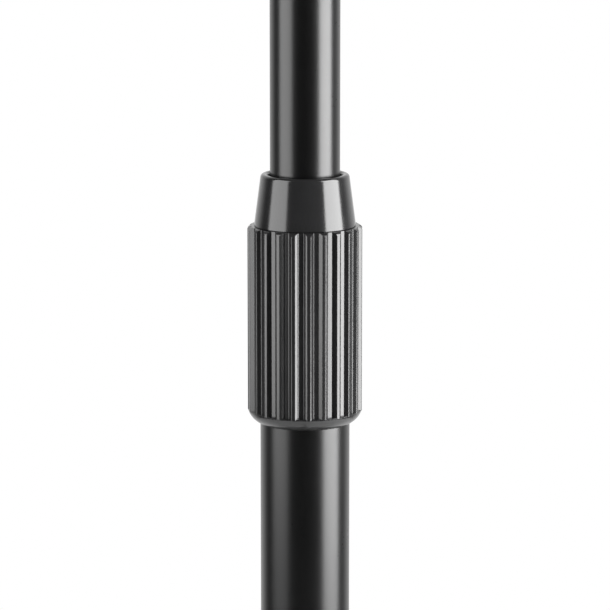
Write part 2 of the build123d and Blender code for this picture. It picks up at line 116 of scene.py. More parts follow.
class MastSizes(bpy.types.PropertyGroup):
    tube_wall: a_length("Tube wall", "Wall of both mast tubes", 1.2 * MM)
    tube_steps: a_count("Tube steps", "Faces around a mast tube", 192)
    mouth_chamfer: a_length("Mouth chamfer", "Chamfer on the tubes' cut ends", 0.25 * MM)


class ClutchSizes(bpy.types.PropertyGroup):
    rib_count: a_count("Ribs", "Ribs around the grip", 23)
    rib_depth: a_length("Rib depth", "Height of a ridge above the flute's floor", 1.12 * MM)
    rib_foot: a_length("Rib foot", "Width of a ridge at the flute's floor", 3.4 * MM)
    rib_crest: a_length("Rib crest", "Width of a ridge's crest before its edges are rounded", 1.1 * MM)
    rib_rounding: a_length("Rib rounding", "How far from the crest's edge its rounding starts", 0.2 * MM)
    flute_rounding: a_length(
        "Flute rounding", "How far from the flute's corner its rounding starts", 0.2 * MM)
    rib_shoulder: a_length("Rib shoulder", "Radius that the ridges' top ends curve inwards by", 1.3 * MM)
    rib_turn: an_angle("Rib turn", "Angle of the first rib from the player's side", radians(3.9))
    bevel_height: a_length("Bevel height", "Height of the rounded bevel below the ribs", 4.2 * MM)
    nose_top_radius: a_length("Nose top radius", "Outside radius of the nose at its rim", 14 * MM)
    nose_hole_radius: a_length(
        "Nose hole radius", "Radius of the hole that the upper tube leaves by", 11.85 * MM)


class BaseSizes(bpy.types.PropertyGroup):
    pin_head: a_length("Pin head", "Height of a leg pin's domed head", 2 * MM)
    lug_inside: a_length("Lug inside", "From a leg's middle plane to its lug's inner face", 5.3 * MM)
    lug_outside: a_length("Lug outside", "From a leg's middle plane to its lug's outer face", 10.3 * MM)
    lug_radius: a_length("Lug radius", "Radius of a lug around its pin", 14 * MM)
    tongue_radius: a_length("Tongue radius", "Radius of a leg's tongue around its pin", 9 * MM)
    foot_centre: a_length("Foot centre", "Height of the middle of a foot's round end", 8 * MM)
    foot_grooves: a_count("Foot grooves", "Grooves around a rubber foot's sleeve", 4)


class KnobSizes(bpy.types.PropertyGroup):
    lobes: a_count("Lobes", "Lobes of a clamp knob", 5)
    lobe_radius: a_length("Lobe radius", "From a knob's axis to the tip of a lobe", 20.5 * MM)
    valley_radius: a_length("Valley radius", "From a knob's axis to the valley between lobes", 15 * MM)
    neck: a_length("Neck", "Length of a knob's neck", 6 * MM)
    neck_radius: a_length("Neck radius", "Radius of a knob's neck", 9 * MM)


class DeskSizes(bpy.types.PropertyGroup):
    sheet: a_length("Sheet", "Thickness of the desk's and the shelf's steel", 1.5 * MM)
    corner: a_length("Corner", "Radius of the desk's top corners", 24 * MM)
    bend: a_length("Bend", "Outside radius of the folds in the sheet", 2.4 * MM)
    standoff: a_length("Stand-off", "From the tilt axis to the back of the desk panel", 27 * MM)
    back_fold: a_length("Back fold", "Depth of the folded edge behind the panel", 9 * MM)
    lip_corner: a_length("Lip corner", "Radius of the shelf lip's upper corners", 6 * MM)
    rivets: a_count("Rivets", "Rivets along the shelf", 5)
    rivet_pitch: a_length("Rivet pitch", "Distance between rivets", 105 * MM)


class FinishColours(bpy.types.PropertyGroup):
    lower_lacquer: a_colour(
        "Lower tube", "Black lacquer on the lower tube and the legs", (0.0012, 0.0012, 0.0013))
    upper_lacquer: a_colour("Upper tube", "Black lacquer on the upper tube", (0.0016, 0.0016, 0.0017))
    nose_plastic: a_colour("Nose", "Charcoal plastic of the clutch's nose", (0.013, 0.013, 0.0133))
    grip_plastic: a_colour("Grip", "Charcoal plastic of the ribbed grip", (0.012, 0.012, 0.0123))
    desk_coat: a_colour(
        "Desk", "Textured black powder coat of the desk and the shelf", (0.011, 0.011, 0.0115))
    casting: a_colour(
        "Castings", "Black coat of the hub, the fork and the desk knuckle", (0.012, 0.012, 0.0125))
    knob_plastic: a_colour("Knobs", "Black plastic of the knobs and the leg knuckles", (0.013, 0.013, 0.0135))
    rubber: a_colour("Feet", "Black rubber of the feet", (0.014, 0.014, 0.014))
    nylon: a_colour("Nylon", "Black nylon of the bushes, washers and liners", (0.02, 0.02, 0.021))
    zinc: a_colour("Zinc", "Zinc plate of the screws, pins and nuts", (0.52, 0.53, 0.55))
    brass: a_colour("Brass", "Turned brass of the clamp pad and the knob's insert", (0.62, 0.44, 0.19))


class StageSettings(bpy.types.PropertyGroup):
    camera_distance: a_length("Camera distance", "From the camera to the clutch", 0.956)
    camera_rise: an_angle("Camera rise", "Angle of the camera above level", radians(10.5))
    camera_lens: a_number("Lens", "Focal length on a 36 mm sensor", 177.0)
    aim_below_rim: a_length("Aim below the rim", "How far below the clutch's rim the camera aims", 42.3 * MM)
    floor_radius: a_length("Floor radius", "Radius of the pale floor", 0.8)


# ---------------------------------------------------------------- shader maths


class Value:
    """A socket in a material. Arithmetic on it adds Math nodes."""

    def __init__(self, finish, socket):
        self.finish = finish
        self.socket = socket

    def math(self, operation, first, second):
        return self.finish.node("ShaderNodeMath", {"operation": operation}, {0: first, 1: second})

    def __add__(self, other):
        return self.math("ADD", self, other)

    def __radd__(self, other):
        return self.math("ADD", other, self)

    def __sub__(self, other):
        return self.math("SUBTRACT", self, other)

    def __rsub__(self, other):
        return self.math("SUBTRACT", other, self)

    def __mul__(self, other):
        return self.math("MULTIPLY", self, other)

    def __rmul__(self, other):
        return self.math("MULTIPLY", other, self)


class Nodes:
    """The node tree of a material or the world, with one shader that everything feeds."""

    def __init__(self, owner, shader):
        owner.use_nodes = True
        self.owner = owner
        self.tree = owner.node_tree
        self.shader = self.tree.nodes[shader]

    def node(self, kind, settings=None, inputs=None, output=0):
        """Adds a node: its settings first, then the values or links of its sockets."""
        made = self.tree.nodes.new(kind)
        for key, value in (settings or {}).items():
            setattr(made, key, value)
        for key, value in (inputs or {}).items():
            self.feed(made.inputs[key], value)
        return Value(self, made.outputs[output])

    def feed(self, socket, value):
        """Links a socket to another node, or sets it to a plain value."""
        if isinstance(value, Value):
            self.tree.links.new(value.socket, socket)
        else:
            socket.default_value = value

    def set(self, **sockets):
        """Feeds the shader's sockets, an underscore standing for a space, and gives the owner."""
        for key, value in sockets.items():
            self.feed(self.shader.inputs[key.replace("_", " ")], value)
        return self.owner

    def place(self, scale=(1, 1, 1)):
        """Object coordinates, stretched by a scale."""
        coordinates = self.node("ShaderNodeTexCoord", output="Object")
        return self.node("ShaderNodeMapping", {}, {"Vector": coordinates, "Scale": scale})

    def noise(self, size, scale=(1, 1, 1), detail=2.0, roughness=0.5):
        """Noise whose features are about size metres across."""
        inputs = {"Vector": self.place(scale), "Scale": 1 / size, "Detail": detail,
                  "Roughness": roughness}
        return self.node("ShaderNodeTexNoise", {}, inputs)

    def band(self, value, low, high, start=0.0, end=1.0):
        """Value mapped smoothly from low..high to start..end."""
        inputs = {"Value": value, "From Min": low, "From Max": high, "To Min": start, "To Max": end}
        return self.node("ShaderNodeMapRange", {"interpolation_type": "SMOOTHSTEP"}, inputs)

    def mix(self, factor, first, second):
        """Colour between first and second."""
        inputs = {"Factor": factor, 6: (*first, 1.0), 7: (*second, 1.0)}
        return self.node("ShaderNodeMix", {"data_type": "RGBA"}, inputs, output=2)

    def cloud(self, clouds, colour, dark, light):
        """Colour that drifts between a darker and a lighter shade of itself."""
        return self.mix(self.band(clouds, 0.3, 0.7), shade(colour, dark), shade(colour, light))

    def bump(self, height, distance, strength):
        """Normal from a height field."""
        inputs = {"Height": height, "Distance": distance, "Strength": strength}
        return self.node("ShaderNodeBump", {}, inputs)


def new_finish(name):
    """New material, which a recipe below gives its nodes."""
    return Nodes(bpy.data.materials.new(name), "Principled BSDF")


def shade(colour, factor):
    """Colour made lighter or darker."""
    return tuple(min(1.0, part * factor) for part in colour)


def paint(name):
    """Base colour from the settings."""
    return tuple(getattr(bpy.context.scene.stand_colours, name))


def satin_lacquer(name, colour, roughness):
    """Satin black powder coat: faint orange peel, soft clouding and fine rub marks along the tube."""
    finish = new_finish(name)
    clouds = finish.noise(38 * MM, detail=3.0)
    peel = finish.noise(0.55 * MM)
    grain = finish.noise(1.6 * MM, detail=3.0)
    marks = finish.band(finish.noise(0.5 * MM, scale=(1, 1, 0.012)), 0.6, 0.78)
    return finish.set(
        Base_Color=finish.cloud(clouds, colour, 0.88, 1.14),
        Roughness=roughness + (grain - 0.5) * 0.05 + (clouds - 0.5) * 0.04 + marks * 0.03,
        Normal=finish.bump(peel * 0.7 + grain * 0.3, 0.012 * MM, 0.35))


def moulded_plastic(name, colour, roughness, grain_height):
    """Moulded plastic: fine grain from the mould and a faint flow clouding."""
    finish = new_finish(name)
    flow = finish.noise(14 * MM)
    grain = finish.noise(0.35 * MM, detail=3.0)
    pits = finish.noise(1.1 * MM)
    return finish.set(
        Base_Color=finish.cloud(flow, colour, 0.92, 1.1),
        Roughness=roughness + (grain - 0.5) * 0.05 + (flow - 0.5) * 0.04,
        Normal=finish.bump(grain * 0.6 + pits * 0.4, grain_height, 0.4))


def powder_coat(name):
    """Textured powder coat of the desk: small rounded grains, a few larger ones, and faint clouding."""
    finish = new_finish(name)
    clouds = finish.noise(60 * MM, detail=3.0)
    grains = finish.noise(0.9 * MM, roughness=0.6)
    lumps = finish.noise(3.2 * MM)
    high = finish.band(grains, 0.5, 0.7)
    return finish.set(
        Base_Color=finish.cloud(clouds, paint("desk_coat"), 0.85, 1.2),
        Roughness=0.5 + (lumps - 0.5) * 0.08 - high * 0.07 + (clouds - 0.5) * 0.05,
        Normal=finish.bump(grains * 0.75 + lumps * 0.25, 0.05 * MM, 0.5))


def coated_casting(name):
    """Black coat over a sand-smooth die casting: orange peel and softened pits."""
    finish = new_finish(name)
    clouds = finish.noise(18 * MM, detail=3.0)
    peel = finish.noise(1.4 * MM)
    pits = finish.noise(0.5 * MM, detail=3.0)
    return finish.set(
        Base_Color=finish.cloud(clouds, paint("casting"), 0.86, 1.18),
        Roughness=0.42 + (peel - 0.5) * 0.08 + (clouds - 0.5) * 0.06,
        Normal=finish.bump(peel * 0.7 + pits * 0.3, 0.04 * MM, 0.45))


def matt_rubber(name):
    """Matt black rubber, fine-grained, with dust near the floor."""
    finish = new_finish(name)
    up = finish.node("ShaderNodeSeparateXYZ", {}, {"Vector": finish.place()}, output="Z")
    patches = finish.noise(5 * MM, detail=4.0)
    grain = finish.noise(0.4 * MM, detail=3.0)
    dust = finish.band(up, 1 * MM, 16 * MM, 1.0, 0.0) * finish.band(patches, 0.4, 0.75)
    clean = paint("rubber")
    return finish.set(
        Base_Color=finish.mix(dust, clean, shade(clean, 3.2)),
        Roughness=0.72 + (grain - 0.5) * 0.12 + dust * 0.12,
        Normal=finish.bump(grain, 0.02 * MM, 0.5))


def black_nylon(name):
    """Self-lubricating nylon: an even, slightly waxy black with turning marks."""
    finish = new_finish(name)
    rings = finish.noise(0.5 * MM, scale=(0.05, 0.05, 1))
    patches = finish.noise(6 * MM)
    black = paint("nylon")
    return finish.set(
        Base_Color=finish.mix(patches, shade(black, 0.85), shade(black, 1.2)),
        Roughness=0.42 + (rings - 0.5) * 0.1 + (patches - 0.5) * 0.06,
        Normal=finish.bump(rings, 0.01 * MM, 0.3))


def bright_metal(name, colour, roughness, tint):
    """Plated or turned metal: fine brush marks, a faint tint in patches."""
    finish = new_finish(name)
    patches = finish.noise(4 * MM, detail=3.0)
    brush = finish.noise(0.25 * MM, scale=(1, 1, 0.08), detail=3.0)
    return finish.set(
        Base_Color=finish.mix(finish.band(patches, 0.35, 0.7), colour, tint), Metallic=1.0,
        Roughness=roughness + (brush - 0.5) * 0.14 + (patches - 0.5) * 0.08,
        Normal=finish.bump(brush, 0.006 * MM, 0.35))


def zinc_plate(name, roughness):
    """Zinc plate, a little yellower in patches."""
    return bright_metal(name, paint("zinc"), roughness, (0.46, 0.45, 0.4))


def black_oxide(name):
    """Blackened steel: dark metal that shines a little where it is rubbed."""
    finish = new_finish(name)
    patches = finish.noise(2.5 * MM, detail=3.0)
    fine = finish.noise(0.3 * MM)
    dark, rubbed = (0.02, 0.02, 0.021), (0.05, 0.05, 0.052)
    return finish.set(
        Base_Color=finish.mix(finish.band(patches, 0.35, 0.7), dark, rubbed), Metallic=0.6,
        Roughness=0.4 + (fine - 0.5) * 0.12, Normal=finish.bump(fine, 0.008 * MM, 0.3))


def give(piece, material):
    """Makes a material the piece's only one."""
    piece.data.materials.clear()
    piece.data.materials.append(material)


# ---------------------------------------------------------------- modelling


def begin(name, add, **settings):
    """Adds a primitive with nothing else selected, names it and opens it in edit mode."""
    bpy.ops.object.select_all(action="DESELECT")
    add(**settings)
    piece = bpy.context.object
    piece.name = name
    piece.data.name = name
    bpy.context.tool_settings.mesh_select_mode = (True, False, False)
    bpy.ops.object.mode_set(mode="EDIT")
    return piece


def weld(reach=0.002 * MM):
    """Merges points nearer than a reach and leaves everything selected."""
    bpy.ops.mesh.select_all(action="SELECT")
    bpy.ops.mesh.remove_doubles(threshold=reach)
    bpy.ops.mesh.select_all(action="SELECT")


def close(piece):
    """Welds the seams, turns the faces outwards and leaves edit mode."""
    weld()
    bpy.ops.mesh.normals_make_consistent(inside=False)
    bpy.ops.object.mode_set(mode="OBJECT")
    return piece


def smooth(piece, angle=radians(32)):
    """Smooth shading, with edges sharper than an angle kept crisp."""
    only(piece)
    bpy.ops.object.shade_smooth_by_angle(angle=angle)
    return piece


def only(piece):
    """Selects one object alone and makes it the active one."""
    bpy.ops.object.select_all(action="DESELECT")
    piece.select_set(True)
    bpy.context.view_layer.objects.active = piece


def settle(piece):
    """Moves the piece's place into its mesh, so that its object sits at the origin."""
    only(piece)
    bpy.ops.object.transform_apply(location=True, rotation=True, scale=True)
    return piece


def modify(piece, kind, **settings):
    """Adds a modifier and applies it."""
    only(piece)
    modifier = piece.modifiers.new(kind.title(), kind)
    for key, value in settings.items():
        setattr(modifier, key, value)
    bpy.ops.object.modifier_apply(modifier=modifier.name)
    return piece


def round_edges(piece, width, segments=3, angle=radians(35)):
    """Rounds every edge sharper than an angle."""
    return modify(piece, "BEVEL", width=width, segments=segments, limit_method="ANGLE",
                  angle_limit=angle, harden_normals=False)


def draw(name, outline, closed=True):
    """A chain of edges through (across, up) points in the XZ plane, left open in edit mode."""
    piece = begin(name, bpy.ops.mesh.primitive_plane_add, size=MM)
    bpy.ops.mesh.select_all(action="SELECT")
    bpy.ops.mesh.merge(type="CENTER")
    here = Vector((outline[0][0], 0, outline[0][1]))
    bpy.ops.transform.translate(value=here)
    stops = list(outline[1:])
    if closed:
        stops.append(outline[0])
    for across, up in stops:
        step = Vector((across, 0, up)) - here
        bpy.ops.mesh.extrude_region_move(TRANSFORM_OT_translate={"value": step})
        here = here + step
    weld()
    return piece


def lathe(name, outline, steps, closed=True):
    """Turns an outline of (radius, height) points about the Z axis."""
    piece = draw(name, outline, closed)
    bpy.ops.mesh.spin(steps=steps, angle=2 * pi, center=(0, 0, 0), axis=(0, 0, 1))
    return close(piece)


def arc(centre, radius, start, end, steps=6):
    """Points on an arc, angles in degrees from the outward direction."""
    turns = [radians(start + (end - start) * i / steps) for i in range(steps + 1)]
    return [(centre[0] + radius * cos(t), centre[1] + radius * sin(t)) for t in turns]


def put(piece, place):
    """Moves a piece by a matrix, into its mesh."""
    piece.matrix_world = place
    return settle(piece)


def along(origin, direction, side):
    """Matrix whose Z runs along a direction and whose X leans towards a side."""
    z_axis = Vector(direction).normalized()
    y_axis = z_axis.cross(Vector(side)).normalized()
    turn = Matrix((y_axis.cross(z_axis), y_axis, z_axis)).transposed()
    return Matrix.Translation(origin) @ turn.to_4x4()


def prism(name, outline, near, far):
    """Solid whose (across, up) outline is drawn in the XZ plane and pulled along Y."""
    piece = draw(name, outline)
    bpy.ops.mesh.edge_face_add()
    bpy.ops.transform.translate(value=(0, near, 0))
    bpy.ops.mesh.extrude_region_move(TRANSFORM_OT_translate={"value": (0, far - near, 0)})
    return close(piece)


def column(name, outline, bottom, top):
    """Prism that stands along Z; its outline's second coordinate runs towards -Y."""
    return put(prism(name, outline, bottom, top), Matrix.Rotation(pi / 2, 4, "X"))


def drum(name, radius, bottom, top, rounding, steps=96):
    """Solid turned about Z with both rims rounded."""
    outline = [(0, bottom), *arc((radius - rounding, bottom + rounding), rounding, -90, 0, 4),
               *arc((radius - rounding, top - rounding), rounding, 0, 90, 4), (0, top)]
    return lathe(name, outline, steps, closed=False)


def block(name, low, high, rounding):
    """Box between two corners, its edges rounded."""
    low, high = Vector(low), Vector(high)
    piece = begin(name, bpy.ops.mesh.primitive_cube_add, size=1, location=(low + high) / 2)
    bpy.ops.mesh.select_all(action="SELECT")
    bpy.ops.transform.resize(value=high - low, center_override=piece.location)
    bpy.ops.object.mode_set(mode="OBJECT")
    settle(piece)
    return round_edges(piece, rounding)


def rounded_box(width, height, corner):
    """Outline of a rectangle with rounded corners."""
    across, up = width / 2 - corner, height / 2 - corner
    outline = []
    for x, z, start in ((across, -up, -90), (across, up, 0), (-across, up, 90), (-across, -up, 180)):
        outline += arc((x, z), corner, start, start + 90, 8)
    return outline


def hexagon(radius):
    """Outline of a hexagon, from its middle to a corner."""
    return [(radius * cos(i * pi / 3), radius * sin(i * pi / 3)) for i in range(6)]


def dome(radius, base, top, rim, steps):
    """Points over a domed head, from the top of its upright rim to its middle."""
    turns = [i * pi / 2 / steps for i in range(steps)]
    spring = base + rim
    return [*((radius * cos(t), spring + (top - spring) * sin(t)) for t in turns), (0, top)]


def combine(piece, other, operation="UNION"):
    """Joins a piece with another solid, or cuts it; the other is used up."""
    only(piece)
    modifier = piece.modifiers.new("Solid", "BOOLEAN")
    modifier.operation = operation
    modifier.solver = "EXACT"
    modifier.object = other
    bpy.ops.object.modifier_apply(modifier=modifier.name)
    mesh = other.data
    bpy.data.objects.remove(other)
    bpy.data.meshes.remove(mesh)
    return piece


def cut(piece, tool):
    """Cuts one solid out of another."""
    return combine(piece, tool, "DIFFERENCE")


def another(piece, name):
    """Copy of a piece with its own mesh."""
    twin = piece.copy()
    twin.data = piece.data.copy()
    twin.name = name
    twin.data.name = name
    bpy.context.scene.collection.objects.link(twin)
    return twin


def gather(name, pieces):
    """Joins several pieces into one object."""
    only(pieces[0])
    for piece in pieces[1:]:
        piece.select_set(True)
    bpy.ops.object.join()
    pieces[0].name = name
    pieces[0].data.name = name
    return pieces[0]


def choose(piece, edges=None, points=None):
    """Opens a piece in edit mode with only the edges or points that pass a test selected."""
    only(piece)
    mesh = piece.data
    for item in (*mesh.vertices, *mesh.edges, *mesh.polygons):
        item.select = False
    if edges:
        for edge in mesh.edges:
            edge.select = edges(*(mesh.vertices[i].co for i in edge.vertices))
    if points:
        for point in mesh.vertices:
            point.select = points(point.co)
    bpy.context.tool_settings.mesh_select_mode = (not edges, bool(edges), False)
    bpy.ops.object.mode_set(mode="EDIT")


def choose_all(piece):
    """Opens a piece in edit mode with everything selected."""
    choose(piece)
    bpy.ops.mesh.select_all(action="SELECT")


def finish_cast(piece, angle=radians(32)):
    """Closes the seams left by cuts and gives smooth shading whose highlights follow the large faces."""
    choose(piece)
    weld(0.01 * MM)
    bpy.ops.mesh.fill_holes(sides=4)
    close(piece)
    smooth(piece, angle)
    return modify(piece, "WEIGHTED_NORMAL", keep_sharp=True, weight=80)


def eased(before, corner, after, length, steps=5):
    """Points that round a corner off, starting a length before it."""
    corner = Vector(corner)
    start = corner + (Vector(before) - corner).normalized() * length
    end = corner + (Vector(after) - corner).normalized() * length
    points = []
    for i in range(steps + 1):
        share = i / steps
        point = start * (1 - share) ** 2 + corner * (2 * share * (1 - share)) + end * share ** 2
        points.append((point.x, point.y))
    return points


def stand_on_mast(piece):
    """Moves a piece drawn about the Z axis onto the mast."""
    piece.location = MAST
    return settle(piece)


def turn_on_mast(name, outline, steps, closed=True):
    """Smooth turned piece around the mast."""
    return smooth(stand_on_mast(lathe(name, outline, steps, closed)))


def hand_over(piece, body, material, node):
    """Gives a finished piece its material, its body and the node it stands for."""
    give(piece, material)
    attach(piece, body)
    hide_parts(node)


# ---------------------------------------------------------------- mast


GRIP_STEPS = 184
FLUTE_STEP = 0.25 * MM
SLEEVE_STEP = 0.55 * MM
SHELL_WALL = 1.25 * MM


def model_tube(name, node, wall, steps, chamfer):
    """Open tube in a node's place, its cut ends chamfered inside and out."""
    low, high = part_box(node)
    outer = (high.x - low.x) / 2
    inner = outer - wall
    outline = [
        (outer, low.z + chamfer), (outer, high.z - chamfer), (outer - chamfer, high.z),
        (inner + chamfer, high.z), (inner, high.z - chamfer), (inner, low.z + chamfer),
        (inner + chamfer, low.z), (outer - chamfer, low.z),
    ]
    return turn_on_mast(name, outline, steps)


class MUSICSTAND_OT_tubes(bpy.types.Operator):
    """Models the two telescoping mast tubes"""

    bl_idname = "musicstand.tubes"
    bl_label = "Mast tubes"

    def execute(self, context):
        sizes = context.scene.stand_mast
        for part in ("lower", "upper"):
            node = f"{part}_tube"
            piece = model_tube(f"{part}_mast_tube", node, sizes.tube_wall, sizes.tube_steps,
                               sizes.mouth_chamfer)
            material = satin_lacquer(f"{node}_lacquer", paint(f"{part}_lacquer"), roughness=0.29)
            hand_over(piece, f"{part}_mast", material, node)
        return {"FINISHED"}


class MUSICSTAND_OT_clutch_nose(bpy.types.Operator):
    """Models the clutch's shell, whose tapered nose shows above the grip"""

    bl_idname = "musicstand.clutch_nose"
    bl_label = "Clutch nose"

    def execute(self, context):
        sizes = context.scene.stand_clutch
        low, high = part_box("clutch_shell")
        base_radius = (high.x - low.x) / 2
        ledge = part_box("grip_sleeve")[1].z
        sleeve_radius = base_radius - SLEEVE_STEP
        bore = sleeve_radius - SHELL_WALL
        washer_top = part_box("thrust_washer")[1].z
        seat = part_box("collet")[0].z
        outer_round = 1.1 * MM
        inner_round = 0.9 * MM
        top = sizes.nose_top_radius
        hole = sizes.nose_hole_radius
        taper = (base_radius - top) / (high.z - ledge)
        shoulder = top + taper * outer_round
        rim = arc((shoulder - outer_round, high.z - outer_round), outer_round, 6, 90, 8)
        mouth = arc((hole + inner_round, high.z - inner_round), inner_round, 90, 180, 7)
        foot_round = 0.18 * MM
        outline = [
            (bore, low.z), (sleeve_radius, low.z), (sleeve_radius, ledge),
            (base_radius - foot_round, ledge), (base_radius, ledge + foot_round),
            *rim, *mouth,
            (hole, washer_top), (bore - 1.45 * MM, washer_top), (bore, seat),
        ]
        piece = turn_on_mast("clutch_nose", outline, 192)
        material = moulded_plastic("nose_plastic", paint("nose_plastic"), roughness=0.16,
                                   grain_height=0.004 * MM)
        hand_over(piece, "clutch_grip", material, "clutch_shell")
        return {"FINISHED"}


class MUSICSTAND_OT_clutch_grip(bpy.types.Operator):
    """Models the fluted sleeve of the clutch: one ridge, copied around, over a beveled flange"""

    bl_idname = "musicstand.clutch_grip"
    bl_label = "Clutch grip"

    def execute(self, context):
        sizes = context.scene.stand_clutch
        low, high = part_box("grip_sleeve")
        crest = (high.y - low.y) / 2
        shell_radius = span("clutch_shell").x / 2 - SLEEVE_STEP
        bore = shell_radius - SHELL_WALL
        ledge = low.z + 3.2 * MM
        rib_bottom = low.z + sizes.bevel_height
        grip = self.model_flutes(sizes, rib_bottom - 0.3 * MM, high.z, crest)
        shoulder = sizes.rib_shoulder
        top_round = arc((crest - shoulder, high.z - shoulder), shoulder, 0, 90, 10)
        envelope = [(0, low.z), (crest, low.z), *top_round, (0, high.z)]
        combine(grip, lathe("envelope", envelope, GRIP_STEPS, closed=False), "INTERSECT")
        combine(grip, self.model_flange(low.z, rib_bottom, crest, bore))
        inside = [(0, ledge), (shell_radius, ledge), (shell_radius, high.z + MM), (0, high.z + MM)]
        cut(grip, lathe("inside", inside, GRIP_STEPS, closed=False))
        piece = smooth(stand_on_mast(grip), radians(30))
        material = moulded_plastic("grip_plastic", paint("grip_plastic"), roughness=0.19,
                                   grain_height=0.0015 * MM)
        hand_over(piece, "clutch_grip", material, "grip_sleeve")
        return {"FINISHED"}

    def model_flutes(self, sizes, bottom, top, crest):
        """One ridge with half a flute on each side, drawn once and copied around, then pulled up."""
        count = sizes.rib_count
        crest_edge = (sizes.rib_crest / 2, 0)
        foot = (sizes.rib_foot / 2, -sizes.rib_depth)
        floor_end = (pi / count * crest, -sizes.rib_depth)
        half = [(0, 0), *eased((0, 0), crest_edge, foot, sizes.rib_rounding),
                *eased(crest_edge, foot, floor_end, sizes.flute_rounding), floor_end]
        profile = [(-across, height) for across, height in reversed(half[1:])] + half
        outline = []
        for (across, height), (next_across, next_height) in zip(profile, profile[1:] + profile[-1:]):
            pieces = max(1, round((next_across - across) / FLUTE_STEP))
            for i in range(pieces):
                turn = sizes.rib_turn + (across + (next_across - across) * i / pieces) / crest
                radius = crest + height + (next_height - height) * i / pieces
                outline.append((radius * sin(turn), radius * cos(turn)))
        flutes = draw("clutch_grip", outline, closed=False)
        bpy.ops.mesh.spin(steps=count - 1, angle=2 * pi * (count - 1) / count, center=(0, 0, 0),
                          axis=(0, 1, 0), dupli=True)
        weld()
        bpy.ops.mesh.edge_face_add()
        bpy.ops.transform.translate(value=(0, bottom, 0))
        bpy.ops.mesh.extrude_region_move(TRANSFORM_OT_translate={"value": (0, top - bottom, 0)})
        close(flutes)
        return put(flutes, Matrix.Rotation(pi / 2, 4, "X"))

    def model_flange(self, bottom, rib_bottom, crest, bore):
        """Flange below the flutes, its underside a rounded bevel."""
        flange = crest - 0.12 * MM
        lip = bore + 0.45 * MM
        bevel_top = rib_bottom - 0.35 * MM
        outline = [(bore, rib_bottom), (flange - 0.25 * MM, rib_bottom), (flange, rib_bottom - 0.2 * MM)]
        steps = 10
        for i in range(steps + 1):
            share = i / steps
            turn = share * pi / 2
            radius = lip + (flange - lip) * (0.62 * cos(turn) + 0.38 * (1 - share))
            height = bottom + (bevel_top - bottom) * (1 - sin(turn) * 0.45 - 0.55 * share)
            outline.append((radius, height))
        outline += [(lip - 0.3 * MM, bottom), (bore, bottom + 0.3 * MM)]
        return lathe("flange", outline, GRIP_STEPS)


# ---------------------------------------------------------------- base


LEG_MOUNTS = {1: "foot_rest_front", 2: "foot_rest_right", 3: "foot_rest_left"}
LEG_RADIUS = 8.0 * MM
TUBE_SEAT = 16.0 * MM


def leg_pivot(number):
    """Middle of a leg's pin."""
    return Vector(joint(f"leg_{number}_fold")["pos_m"])


def leg_outward(number):
    """Level direction from the mast to a leg's pin."""
    away = leg_pivot(number) - MAST
    return Vector((away.x, away.y, 0)).normalized()


def leg_end(number, sizes):
    """Middle of a foot's round end."""
    mounts = frame["record"]["mounts"]
    place = next(mount["pos_m"] for mount in mounts if mount["name"] == LEG_MOUNTS[number])
    return Vector(place) + UP * sizes.foot_centre


def down_leg(number, sizes):
    """Matrix at a leg's pin whose Z runs down the leg and whose Y is the pin's axis."""
    pivot = leg_pivot(number)
    return along(pivot, leg_end(number, sizes) - pivot, UP)


def beside_leg(number):
    """Matrix at a leg's pin whose Z is up, X is outwards and Y is the pin's axis."""
    return along(leg_pivot(number), UP, leg_outward(number))


